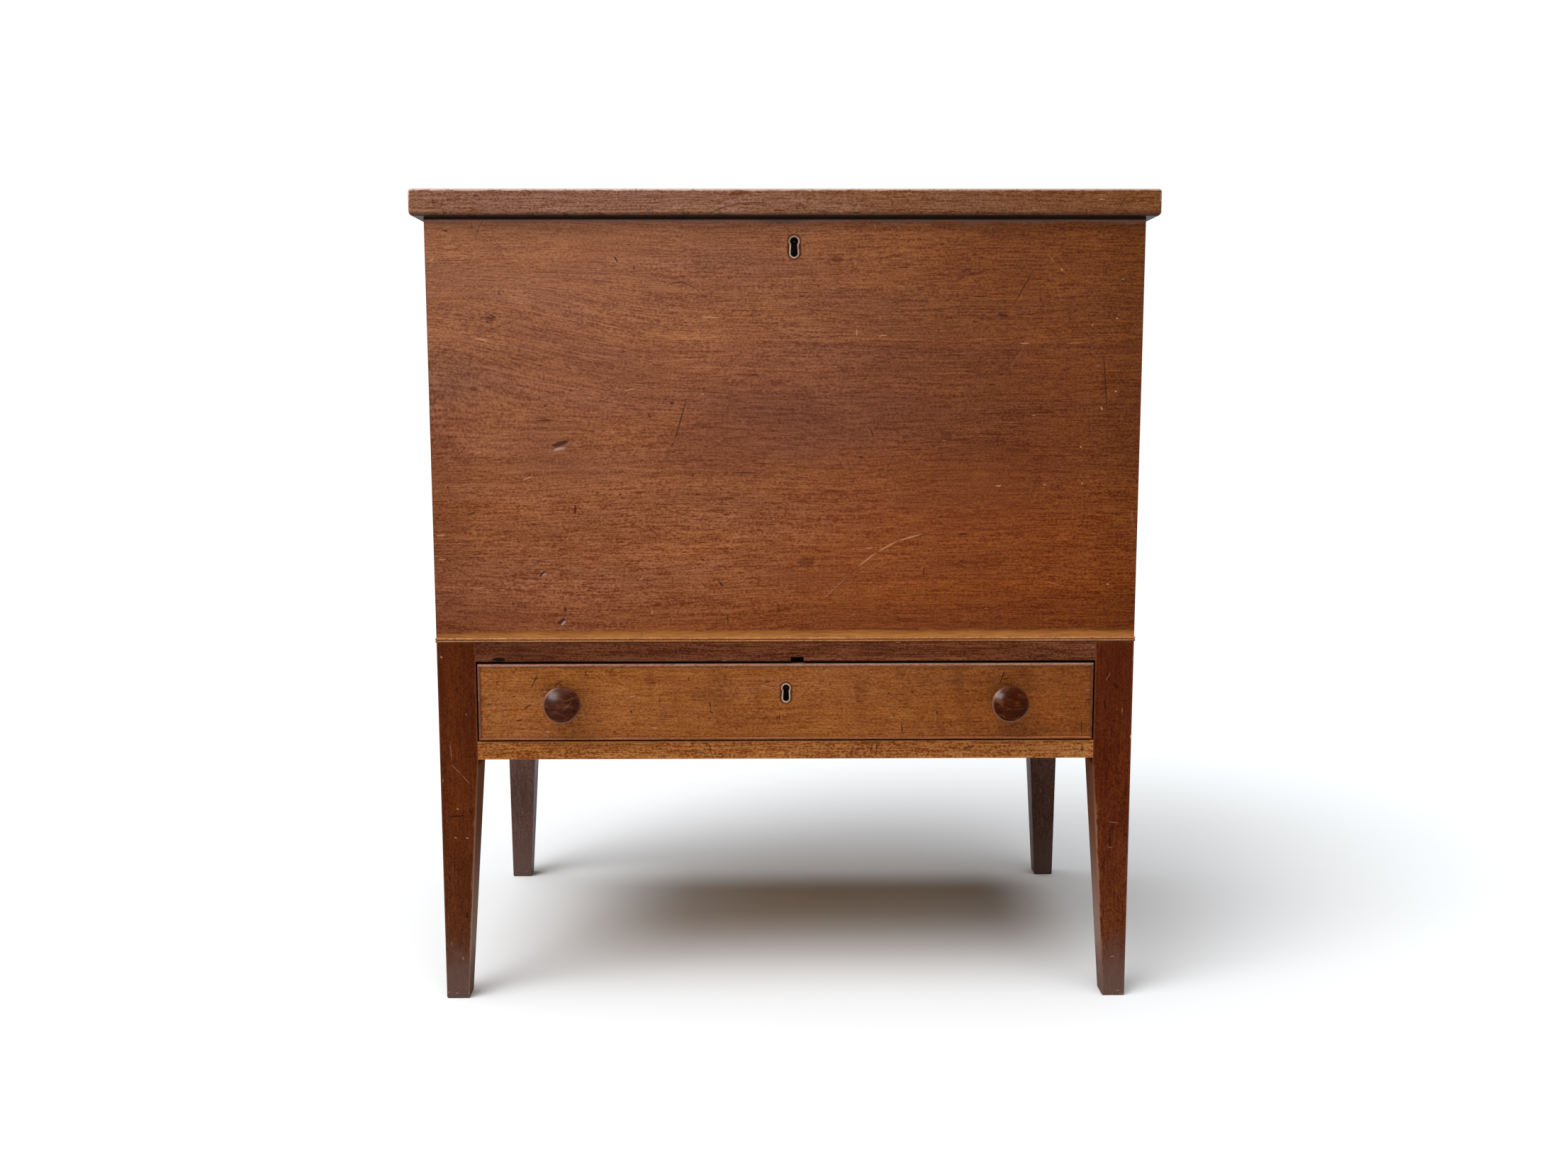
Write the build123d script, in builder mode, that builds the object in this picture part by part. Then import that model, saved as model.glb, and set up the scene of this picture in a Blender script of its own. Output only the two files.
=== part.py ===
from build123d import *
import os

# Sugar chest: a dovetailed bin with a hinged lid, on a frame of four tapered legs that holds
# one cockbeaded drawer. Millimetres. X runs to the right, Y to the back and Z up. The origin
# is on the floor, under the middle of the chest's overall length and depth.

# ------------------------------------------------------------------ driving dimensions

# Bin
case_width = 800.0
case_depth = 480.0
case_height = 476.0
case_board = 20.0
case_lap = 6.0  # wood left in front of the front board's half-blind dovetails
case_tail_count = 8
case_tail_margin = 9.0  # from the board's edge to the first tail
case_pin = 7.0  # narrow side of a pin
dovetail_slope = 1 / 7
bottom_board = 14.0
bottom_lift = 12.0  # from the board edges up to the bottom
bottom_groove = 8.0
divider_board = 13.0
divider_offset = -130.0
divider_dado = 6.0
divider_drop = 45.0  # from the bin's rim down to the divider
waist_bead_height = 5.5
waist_bead_let_in = 5.0
waist_bead_proud = 1.2

# Frame
frame_height = 425.0
leg_width = 44.0
foot_width = 26.0
foot_chamfer = 1.5
leg_square_drop = 4.0  # how far the square of a leg runs below the aprons
apron_height = 137.0
apron_board = 20.0
apron_tenon_inset = 6.0
upper_rail_height = 23.0
lower_rail_height = 21.0
rail_depth = 44.0
rail_dovetail_length = 28.0
rail_dovetail_height = 12.0
rail_dovetail_neck = 20.0
tenon_thickness = 8.0
tenon_length = 20.0
tenon_shoulder = 4.0
apron_top_shoulder = 16.0
runner_width = 22.0
runner_height = 18.0
runner_tenon = 8.0
guide_rise = 18.0
kicker_height = 18.0
stop_length = 40.0
stop_width = 16.0
stop_height = 5.0
stop_inset = 154.0  # from the drawer's end to the middle of a stop
joining_block = 20.0
joining_block_length = 60.0
joining_block_drop = 18.0
joining_block_inset = 90.0  # from the bin's corners to the middle of the outer blocks

# Lid
lid_board = 29.0
lid_overhang = 14.0
lid_corner_radius = 4.0
lid_top_radius = 3.5
lid_lower_radius = 4.5
lid_back_radius = 1.0
cleat_width = 40.0
cleat_board = 18.0
cleat_inset = 150.0  # from the bin's end to the middle of a cleat
cleat_end_gap = 12.0
cleat_chamfer = 5.0
cleat_screw_pitch = 150.0

# Hinges
hinge_length = 64.0
hinge_inset = 140.0  # from the bin's end to the middle of a hinge
hinge_leaf = 2.0
hinge_leaf_width = 17.0
hinge_leaf_gap = 0.3
hinge_barrel_radius = 3.5
hinge_barrel_gap = 0.4  # round the barrel, to the case and to the lid
hinge_knuckle_gap = 0.3
hinge_knuckle_count = 5
hinge_pin_radius = 1.5
hinge_pin_gap = 0.05
hinge_pin_head = 2.4
hinge_screw_pitch = 22.0

# Drawer
drawer_front_board = 20.0
drawer_side_board = 12.0
drawer_back_gap = 30.0  # behind the drawer, to the back apron
drawer_side_gap = 2.0
drawer_top_gap = 2.4
drawer_lift = 2.0  # from the lower rail up to the drawer
running_gap = 0.3
drawer_lap = 9.0
drawer_side_drop = 2.6
drawer_back_drop = 6.0
drawer_tail_count = 3
drawer_tail_margin = 4.0
drawer_pin = 5.0
drawer_bottom_tongue = 5.0
drawer_bottom_bevel = 5.0
drawer_bottom_bevel_width = 28.0
drawer_bottom_lift = 10.0  # from the drawer's lower edge up to its grooves
drawer_groove = 5.0
cockbead_thickness = 2.8
cockbead_let_in = 8.0
cockbead_proud = 2.0

# Knobs
knob_inset = 98.0  # from the drawer's end to the middle of a knob
knob_radius = 21.0
knob_reach = 28.0
knob_foot_radius = 11.0
knob_neck_radius = 9.5
knob_neck_reach = 7.0
knob_back_reach = 15.5  # where the flare of the neck meets the rim
knob_rim_reach = 19.5
knob_dome_start = 20.5
knob_dome_radius = 19.6
knob_tenon_radius = 6.5

# Keyholes: round part on top, then a slot that widens to a round foot
lid_keyhole_offset = 9.4
lid_keyhole_drop = 26.3  # from the bin's rim down to the middle of the round part
lid_keyhole_radius = 4.6
lid_keyhole_neck = 6.4
lid_keyhole_foot = 8.0
lid_keyhole_length = 13.0
drawer_keyhole_drop = 28.4
drawer_keyhole_radius = 4.0
drawer_keyhole_neck = 5.6
drawer_keyhole_foot = 7.0
drawer_keyhole_length = 12.0
escutcheon_wall = 1.7
escutcheon_depth = 4.5
escutcheon_proud = 0.2

# Locks
lock_plate = 2.0
lock_plate_height = 48.0
lock_plate_border = 10.0  # plate beside the lock's box
lock_wall = 1.5
lock_box_shift = 2.0  # the box sits off the keyhole, towards its bolt
lock_slack = 0.5  # round a bolt or a hasp
key_pin_radius = 1.25
key_pin_setback = 5.0
lid_lock_box_width = 64.0
lid_lock_depth = 14.0
lid_bolt_thickness = 3.4
lid_bolt_height = 5.0
lid_bolt_length = 27.0
lid_bolt_throw = 9.0
lid_bolt_talon = 7.0
hasp_offset = 14.0  # from the keyhole to the hasp's loop
hasp_plate_length = 44.0
hasp_plate_width = 13.0
hasp_loop_thickness = 3.5
hasp_loop_wire = 2.0
hasp_loop_reach = 14.0
drawer_lock_box_width = 56.0
drawer_lock_depth = 11.0
drawer_bolt_offset = 12.8
drawer_bolt_width = 12.0
drawer_bolt_thickness = 4.0
drawer_bolt_length = 31.0
drawer_bolt_talon = 8.0
drawer_bolt_sink = 0.4  # bolt's end below the selvage when it is drawn back
bolt_notch_height = 5.5
bolt_notch_slack = 1.5  # beside and behind the drawer's bolt

# Screws
screw_radius = 1.5
screw_head_radius = 3.2
screw_length = 14.0
screw_slot_width = 0.8
screw_slot_depth = 0.7

# ---------------------------------------------------------------- faces and levels
# The knobs stand out furthest in front and the lid behind, so the chest's middle lies
# halfway between them.

half_width = case_width / 2
front = -(case_depth + lid_overhang - knob_reach) / 2
back = front + case_depth
middle_y = (front + back) / 2
inner_x = half_width - case_board
inner_front = front + case_board
inner_back = back - case_board

waist = frame_height
case_top = waist + case_height
bottom_under = waist + bottom_lift
bottom_top = bottom_under + bottom_board
divider_x = divider_offset
bead_top = waist + waist_bead_height

apron_bottom = waist - apron_height
taper_top = apron_bottom - leg_square_drop
opening_bottom = apron_bottom + lower_rail_height
opening_top = waist - upper_rail_height
opening_half = half_width - leg_width

drawer_half = opening_half - drawer_side_gap
drawer_inner_half = drawer_half - drawer_side_board
drawer_low = opening_bottom + drawer_lift
drawer_top = opening_top - drawer_top_gap
drawer_side_top = drawer_top - drawer_side_drop
drawer_back_top = drawer_top - drawer_back_drop
drawer_inner = front + drawer_front_board
drawer_end = back - apron_board - drawer_back_gap
drawer_groove_low = drawer_low + drawer_bottom_lift
drawer_groove_top = drawer_groove_low + drawer_bottom_tongue
runner_top = drawer_low - running_gap
knob_x = drawer_half - knob_inset
knob_z = (drawer_low + drawer_top) / 2

lid_half = half_width + lid_overhang
lid_front = front - lid_overhang
lid_back = back + lid_overhang
lid_top = case_top + lid_board
hinge_y = back + hinge_barrel_radius + hinge_barrel_gap
leaf_plane_gap = hinge_leaf_gap / 2
cleat_x = half_width - cleat_inset

lid_key_z = case_top - lid_keyhole_drop
drawer_key_x = 0.0
drawer_key_z = drawer_top - drawer_keyhole_drop
lid_lock_x = lid_keyhole_offset + lock_box_shift
drawer_lock_x = drawer_key_x + lock_box_shift
hasp_x = lid_keyhole_offset + hasp_offset
hasp_y = inner_front - (lock_plate + lid_lock_depth - lock_wall) / 2
hasp_loop_width = lid_bolt_thickness + 2 * (lock_slack + hasp_loop_wire)
lid_bolt_low = case_top - hasp_loop_reach + hasp_loop_wire + lock_slack
lid_bolt_end = hasp_x - hasp_loop_thickness / 2 - 4 * lock_slack
drawer_bolt_x = drawer_key_x + drawer_bolt_offset
drawer_bolt_top = drawer_top - drawer_bolt_sink
drawer_bolt_back = drawer_inner - lock_plate - running_gap

sides = ((-1, "left"), (1, "right"))
rows = ((front, 1, "front"), (back, -1, "rear"))

os.makedirs("parts", exist_ok=True)


# ---------------------------------------------------------------- helpers


def save(part, name):
    """Label a finished piece and write it to its own file."""
    part.label = name
    export_step(part, f"parts/{name}.step")


def span(a, b):
    """Two values in rising order."""
    return (min(a, b), max(a, b))


def about(middle, size):
    """Low and high values of a size centred on middle."""
    return (middle - size / 2, middle + size / 2)


def block(x, y, z, mode=Mode.ADD):
    """Add or cut a square-edged block between low and high values."""
    with BuildSketch(Plane.XY.offset(z[0])) as outline:
        with Locations(((x[0] + x[1]) / 2, (y[0] + y[1]) / 2)):
            Rectangle(x[1] - x[0], y[1] - y[0])
    extrude(outline.sketch, amount=z[1] - z[0], mode=mode)


def upright(y):
    """The plane at depth y that is seen from the front: its own axes are X and Z."""
    return Plane(origin=(0, y, 0), x_dir=(1, 0, 0), z_dir=(0, -1, 0))


def tails(plane, root, tip, low, high, count, pin, depth, mode=Mode.ADD):
    """Add or cut a row of dovetail tails that widen from the root line to the tip line."""
    pitch = (high - low) / count
    tip_half = (pitch - pin) / 2
    root_half = tip_half - abs(tip - root) * dovetail_slope
    with BuildSketch(plane) as outline:
        for i in range(count):
            middle = low + pitch * (i + 0.5)
            Polygon(
                (root, middle - root_half),
                (tip, middle - tip_half),
                (tip, middle + tip_half),
                (root, middle + root_half),
                align=None,
            )
    extrude(outline.sketch, amount=depth, dir=plane.z_dir, mode=mode)


def rod(plane, radius, length, mode=Mode.ADD):
    """Add or cut a round rod that starts on plane and runs along its normal."""
    with BuildSketch(plane) as outline:
        Circle(radius)
    extrude(outline.sketch, amount=length, dir=plane.z_dir, mode=mode)


def keyhole(x, z, radius, neck, foot, length, grow=0.0):
    """Outline of a keyhole whose round part is centred at x, z; grow widens it all round."""
    with Locations((x, z)):
        Circle(radius + grow)
    with Locations((x, z - length)):
        Circle(foot / 2 + grow)
    Polygon(
        (x - foot / 2 - grow, z - length),
        (x + foot / 2 + grow, z - length),
        (x + neck / 2 + grow, z),
        (x - neck / 2 - grow, z),
        align=None,
    )


def lid_keyhole(grow=0.0):
    """The bin lock's keyhole outline."""
    keyhole(
        lid_keyhole_offset,
        lid_key_z,
        lid_keyhole_radius,
        lid_keyhole_neck,
        lid_keyhole_foot,
        lid_keyhole_length,
        grow,
    )


def drawer_keyhole(grow=0.0):
    """The drawer lock's keyhole outline."""
    keyhole(
        drawer_key_x,
        drawer_key_z,
        drawer_keyhole_radius,
        drawer_keyhole_neck,
        drawer_keyhole_foot,
        drawer_keyhole_length,
        grow,
    )


def cut_keyhole(outline, depth):
    """Cut a keyhole from the front face to depth, with the wider seat of its escutcheon."""
    with BuildSketch(upright(front)) as hole:
        outline()
    extrude(hole.sketch, amount=depth, dir=(0, 1, 0), mode=Mode.SUBTRACT)
    with BuildSketch(upright(front)) as seat:
        outline(escutcheon_wall)
    extrude(seat.sketch, amount=escutcheon_depth, dir=(0, 1, 0), mode=Mode.SUBTRACT)


def lock_body(middle, top, inner, depth, box_width, mode=Mode.ADD):
    """A box lock's outer form, or its mortise: back plate, selvage on top, and box."""
    plate_x = about(middle, box_width + 2 * lock_plate_border)
    box_low = top - lock_plate_height + lock_plate
    block(plate_x, (inner - lock_plate, inner), (top - lock_plate_height, top), mode)
    block(plate_x, (inner - depth, inner), (top - lock_plate, top), mode)
    block(about(middle, box_width), (inner - depth, inner), (box_low, top), mode)


def lock_hollow(middle, top, inner, depth, box_width):
    """Hollow out a lock's box, between its walls and the back plate."""
    block(
        about(middle, box_width - 2 * lock_wall),
        (inner - depth + lock_wall, inner - lock_plate),
        (top - lock_plate_height + lock_plate + lock_wall, top - lock_plate),
        Mode.SUBTRACT,
    )


def lock_screw_planes(middle, top, inner, box_width):
    """Places of the four screws that hold a lock's back plate, facing into the chest."""
    across = (box_width + lock_plate_border) / 2
    return [
        Plane(origin=(middle + dx, inner, top - dz), x_dir=(1, 0, 0), z_dir=(0, 1, 0))
        for dx in (-across, across)
        for dz in (lock_plate_border, lock_plate_height - lock_plate_border)
    ]


def screw(length):
    """A slotted countersunk wood screw, its head's face at the origin, pointing down."""
    cone = screw_head_radius - screw_radius
    with BuildPart() as made:
        with BuildSketch(Plane.XZ):
            Polygon(
                (0, 0),
                (0, -length),
                (screw_radius, screw_radius - length),
                (screw_radius, -cone),
                (screw_head_radius, 0),
                align=None,
            )
        revolve(axis=Axis.Z)
        with BuildSketch(Plane.XY):
            Rectangle(2 * screw_head_radius, screw_slot_width)
        extrude(amount=-screw_slot_depth, mode=Mode.SUBTRACT)
    return made.part


def screws(planes, length):
    """A set of screws at planes, as one group of separate solids."""
    with BuildPart() as group:
        with Locations(*planes):
            add(screw(length))
    return group.part


def countersink(planes):
    """Cut the countersunk holes of screws through a plate."""
    with Locations(*planes):
        CounterSinkHole(screw_radius, screw_head_radius, counter_sink_angle=90)


def pilot(planes, length):
    """Bore the holes that screws of length go into."""
    for plane in planes:
        rod(plane.offset(-length), screw_radius, length, Mode.SUBTRACT)


# Screw places
hinge_x = {name: side * (half_width - hinge_inset) for side, name in sides}
leaf_screw_y = back - hinge_leaf_width / 2
leaf_screw_x = [
    x + dx for x in hinge_x.values() for dx in (-hinge_screw_pitch, 0, hinge_screw_pitch)
]
case_leaf_screws = [
    Plane(origin=(x, leaf_screw_y, case_top - leaf_plane_gap), z_dir=(0, 0, 1))
    for x in leaf_screw_x
]
lid_leaf_screws = [
    Plane(origin=(x, leaf_screw_y, case_top + leaf_plane_gap), z_dir=(0, 0, -1))
    for x in leaf_screw_x
]
cleat_screws = [
    Plane(origin=(side * cleat_x, middle_y + dy, case_top - cleat_board), z_dir=(0, 0, -1))
    for side, _ in sides
    for dy in (-cleat_screw_pitch, 0, cleat_screw_pitch)
]
hasp_screws = [
    Plane(origin=(hasp_x + dx, hasp_y, case_top), z_dir=(0, 0, -1))
    for dx in (-hasp_plate_length * 0.34, hasp_plate_length * 0.34)
]
lid_lock_screws = lock_screw_planes(lid_lock_x, case_top, inner_front, lid_lock_box_width)
drawer_lock_screws = lock_screw_planes(
    drawer_lock_x, drawer_top, drawer_inner, drawer_lock_box_width
)
cleat_screw_length = cleat_board + screw_length


# ---------------------------------------------------------------- bin


def cut_bead_seat():
    """Cut the rebate for the waist bead along the lower edge of the front and the sides."""
    height = (waist, bead_top)
    across = (-half_width, half_width)
    block(across, (front, front + waist_bead_let_in), height, Mode.SUBTRACT)
    for side, _ in sides:
        edge = span(side * half_width, side * (half_width - waist_bead_let_in))
        block(edge, (front, back), height, Mode.SUBTRACT)


def case_tails(side, root, tip, mode=Mode.ADD):
    """The tails on a bin side, or the sockets for them in the front or back board."""
    plane = Plane.YZ.offset(min(side * half_width, side * inner_x))
    low = waist + case_tail_margin
    high = case_top - case_tail_margin
    tails(plane, root, tip, low, high, case_tail_count, case_pin, case_board, mode)


def cut_divider_dado(y):
    """Cut the upright dado that the divider slides down in."""
    block(about(divider_x, divider_board), y, (bottom_top, case_top), Mode.SUBTRACT)


with BuildPart() as case_front:
    block((-half_width, half_width), (front, inner_front), (waist, case_top))
    for side, _ in sides:
        case_tails(side, inner_front, front + case_lap, Mode.SUBTRACT)
    block(
        (-inner_x, inner_x),
        (inner_front - bottom_groove, inner_front),
        (bottom_under, bottom_top),
        Mode.SUBTRACT,
    )
    cut_divider_dado((inner_front - divider_dado, inner_front))
    cut_bead_seat()
    cut_keyhole(lid_keyhole, case_board)
    lock_body(
        lid_lock_x, case_top, inner_front, lid_lock_depth, lid_lock_box_width, Mode.SUBTRACT
    )
    pilot(lid_lock_screws, screw_length)
save(case_front.part, "case_front")

with BuildPart() as case_back:
    block((-half_width, half_width), (inner_back, back), (waist, case_top))
    for side, _ in sides:
        case_tails(side, inner_back, back, Mode.SUBTRACT)
    block(
        (-inner_x, inner_x),
        (inner_back, inner_back + bottom_groove),
        (bottom_under, bottom_top),
        Mode.SUBTRACT,
    )
    cut_divider_dado((inner_back, inner_back + divider_dado))
    cut_bead_seat()
    for x in hinge_x.values():
        block(
            about(x, hinge_length),
            (back - hinge_leaf_width, back),
            (case_top - leaf_plane_gap - hinge_leaf, case_top),
            Mode.SUBTRACT,
        )
    pilot(case_leaf_screws, screw_length)
save(case_back.part, "case_back")

for side, name in sides:
    thickness = span(side * half_width, side * inner_x)
    with BuildPart() as case_side:
        block(thickness, (inner_front, inner_back), (waist, case_top))
        case_tails(side, inner_front, front + case_lap)
        case_tails(side, inner_back, back)
        block(
            span(side * inner_x, side * (inner_x + bottom_groove)),
            (inner_front, inner_back),
            (bottom_under, bottom_top),
            Mode.SUBTRACT,
        )
        cut_bead_seat()
    save(case_side.part, f"case_side_{name}")

with BuildPart() as case_bottom:
    level = (bottom_under, bottom_top)
    groove_x = inner_x + bottom_groove
    block((-inner_x, inner_x), (inner_front - bottom_groove, inner_back + bottom_groove), level)
    block((-groove_x, groove_x), (inner_front, inner_back), level)
save(case_bottom.part, "case_bottom")

with BuildPart() as bin_divider:
    block(
        about(divider_x, divider_board),
        (inner_front - divider_dado, inner_back + divider_dado),
        (bottom_top, case_top - divider_drop),
    )
save(bin_divider.part, "bin_divider")

# Waist bead: two fine reeds, mitred at the front corners and let in all round but the back


def bead_profile(plane):
    """Cross-section of the waist bead; the plane's first axis runs out of the wood."""
    reed = waist_bead_height / 2
    with BuildSketch(plane) as profile:
        with BuildLine():
            Line((-waist_bead_let_in, waist), (0, waist))
            ThreePointArc((0, waist), (waist_bead_proud, waist + reed / 2), (0, waist + reed))
            ThreePointArc((0, waist + reed), (waist_bead_proud, waist + 1.5 * reed), (0, bead_top))
            Line((0, bead_top), (-waist_bead_let_in, bead_top))
            Line((-waist_bead_let_in, bead_top), (-waist_bead_let_in, waist))
        make_face()
    return profile.sketch


mitres = {
    side: Plane(origin=(side * half_width, front, waist), z_dir=(-side, -1, 0))
    for side, _ in sides
}
bead_end = half_width + waist_bead_proud

with BuildPart() as waist_bead_front:
    start = Plane(origin=(-bead_end, front, 0), x_dir=(0, -1, 0), z_dir=(-1, 0, 0))
    extrude(bead_profile(start), amount=2 * bead_end, dir=(1, 0, 0))
    for plane in mitres.values():
        split(bisect_by=plane, keep=Keep.TOP)
save(waist_bead_front.part, "waist_bead_front")

for side, name in sides:
    start = Plane(
        origin=(side * half_width, front - waist_bead_proud, 0),
        x_dir=(side, 0, 0),
        z_dir=(0, -side, 0),
    )
    with BuildPart() as waist_bead_side:
        extrude(bead_profile(start), amount=case_depth + waist_bead_proud, dir=(0, 1, 0))
        split(bisect_by=mitres[side], keep=Keep.BOTTOM)
    save(waist_bead_side.part, f"waist_bead_{name}")

with BuildPart() as case_escutcheon:
    with BuildSketch(upright(front - escutcheon_proud)) as ring:
        lid_keyhole(escutcheon_wall)
    extrude(ring.sketch, amount=escutcheon_depth + escutcheon_proud, dir=(0, 1, 0))
    with BuildSketch(upright(front - escutcheon_proud)) as hole:
        lid_keyhole()
    extrude(hole.sketch, amount=case_board, dir=(0, 1, 0), mode=Mode.SUBTRACT)
save(case_escutcheon.part, "case_escutcheon")


# ---------------------------------------------------------------- frame


def apron_tenon(x, y, mode=Mode.ADD):
    """A tenon of an apron, or its mortise in a leg."""
    block(x, y, (apron_bottom + tenon_shoulder, waist - apron_top_shoulder), mode)


def side_apron_tenon(side, row_y, inward, mode=Mode.ADD):
    """The side apron's tenon in the leg at the corner of side and row_y."""
    outer = half_width - apron_tenon_inset
    shoulder = row_y + inward * leg_width
    apron_tenon(
        span(side * outer, side * (outer - tenon_thickness)),
        span(shoulder, shoulder - inward * tenon_length),
        mode,
    )


def back_apron_tenon(side, mode=Mode.ADD):
    """The back apron's tenon in a rear leg."""
    outer = back - apron_tenon_inset
    apron_tenon(
        span(side * opening_half, side * (opening_half + tenon_length)),
        (outer - tenon_thickness, outer),
        mode,
    )


def rail_dovetail(side, mode=Mode.ADD):
    """The upper rail's dovetail, dropped into a front leg's top."""
    shoulder = side * opening_half
    tip = side * (opening_half + rail_dovetail_length)
    neck_half = rail_dovetail_neck / 2
    tip_half = neck_half + rail_dovetail_length * dovetail_slope
    y = front + rail_depth / 2
    plane = Plane.XY.offset(waist - rail_dovetail_height)
    with BuildSketch(plane) as outline:
        Polygon(
            (shoulder, y - neck_half),
            (tip, y - tip_half),
            (tip, y + tip_half),
            (shoulder, y + neck_half),
            align=None,
        )
    extrude(outline.sketch, amount=rail_dovetail_height, dir=plane.z_dir, mode=mode)


def rail_tenons(side, mode=Mode.ADD):
    """The lower rail's twin tenons, or their mortises in a front leg."""
    for y in (front + rail_depth / 4, front + rail_depth * 3 / 4):
        block(
            span(side * opening_half, side * (opening_half + tenon_length)),
            about(y, tenon_thickness),
            (apron_bottom + tenon_shoulder, opening_bottom - tenon_shoulder),
            mode,
        )


def runner_stub(side, mode=Mode.ADD):
    """A drawer runner's stub tenon, or its mortise in the lower rail."""
    block(
        about(side * (opening_half - runner_width / 2), runner_width - 2 * tenon_shoulder),
        (front + rail_depth - runner_tenon, front + rail_depth),
        (runner_top - runner_height + tenon_shoulder, runner_top - 2 * tenon_shoulder),
        mode,
    )


# A leg is square down to just below the aprons; its two inner faces then taper to the foot.
for side, side_name in sides:
    for row_y, inward, row_name in rows:
        outer_x = side * half_width
        inner_leg_x = outer_x - side * leg_width
        foot_x = outer_x - side * foot_width
        inner_leg_y = row_y + inward * leg_width
        foot_y = row_y + inward * foot_width
        with BuildPart() as leg:
            block(span(outer_x, inner_leg_x), span(row_y, inner_leg_y), (0, waist))
            with BuildSketch(upright(0)) as taper_x:
                Polygon((inner_leg_x, taper_top), (inner_leg_x, 0), (foot_x, 0), align=None)
            extrude(taper_x.sketch, amount=case_depth, both=True, mode=Mode.SUBTRACT)
            with BuildSketch(Plane.YZ) as taper_y:
                Polygon((inner_leg_y, taper_top), (inner_leg_y, 0), (foot_y, 0), align=None)
            extrude(taper_y.sketch, amount=case_width, both=True, mode=Mode.SUBTRACT)
            chamfer(leg.faces().sort_by(Axis.Z)[0].edges(), foot_chamfer)
            side_apron_tenon(side, row_y, inward, Mode.SUBTRACT)
            if row_name == "front":
                rail_dovetail(side, Mode.SUBTRACT)
                rail_tenons(side, Mode.SUBTRACT)
            else:
                back_apron_tenon(side, Mode.SUBTRACT)
        save(leg.part, f"leg_{row_name}_{side_name}")

with BuildPart() as upper_rail:
    block((-opening_half, opening_half), (front, front + rail_depth), (opening_top, waist))
    for side, _ in sides:
        rail_dovetail(side)
    block(
        about(drawer_bolt_x, drawer_bolt_width + 2 * bolt_notch_slack),
        (front, drawer_bolt_back + bolt_notch_slack),
        (opening_top, opening_top + bolt_notch_height),
        Mode.SUBTRACT,
    )
save(upper_rail.part, "upper_rail")

with BuildPart() as lower_rail:
    block((-opening_half, opening_half), (front, front + rail_depth), (apron_bottom, opening_bottom))
    for side, _ in sides:
        rail_tenons(side)
        runner_stub(side, Mode.SUBTRACT)
save(lower_rail.part, "lower_rail")

for side, name in sides:
    with BuildPart() as side_apron:
        block(
            span(side * half_width, side * (half_width - apron_board)),
            (front + leg_width, back - leg_width),
            (apron_bottom, waist),
        )
        for row_y, inward, _ in rows:
            side_apron_tenon(side, row_y, inward)
    save(side_apron.part, f"side_apron_{name}")

with BuildPart() as back_apron:
    block((-opening_half, opening_half), (back - apron_board, back), (apron_bottom, waist))
    for side, _ in sides:
        back_apron_tenon(side)
save(back_apron.part, "back_apron")

# Drawer runner, guide and kicker on each side
for side, name in sides:
    runner_x = span(side * opening_half, side * (opening_half - runner_width))
    runner_y = (front + rail_depth, back - apron_board)
    guide_x = span(side * opening_half, side * (half_width - apron_board))
    with BuildPart() as drawer_runner:
        block(runner_x, runner_y, (runner_top - runner_height, runner_top))
        runner_stub(side)
    save(drawer_runner.part, f"drawer_runner_{name}")

    with BuildPart() as drawer_guide:
        block(
            guide_x,
            (front + leg_width, back - leg_width),
            (runner_top - runner_height, runner_top + guide_rise),
        )
    save(drawer_guide.part, f"drawer_guide_{name}")

    with BuildPart() as kicker:
        block(runner_x, runner_y, (opening_top, opening_top + kicker_height))
    save(kicker.part, f"drawer_kicker_{name}")

with BuildPart() as drawer_stops:
    for side, _ in sides:
        block(
            about(side * (drawer_half - stop_inset), stop_length),
            (drawer_inner, drawer_inner + stop_width),
            (opening_bottom, opening_bottom + stop_height),
        )
save(drawer_stops.part, "drawer_stops")

# Glue blocks that join the bin to the frame: astride the joint at the sides and the back,
# and on top of the upper rail in front
with BuildPart() as joining_blocks:
    astride = (waist - joining_block_drop, bottom_under)
    reach_x = inner_x - joining_block_inset
    reach_y = (inner_back - inner_front) / 2 - joining_block_inset
    for i in (-1, 0, 1):
        for side, _ in sides:
            block(
                span(side * inner_x, side * (inner_x - joining_block)),
                about(middle_y + i * reach_y, joining_block_length),
                astride,
            )
        along = about(i * reach_x, joining_block_length)
        block(along, (inner_back - joining_block, inner_back), astride)
        block(along, (inner_front, inner_front + joining_block), (waist, bottom_under))
save(joining_blocks.part, "joining_blocks")


# ---------------------------------------------------------------- lid

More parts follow.
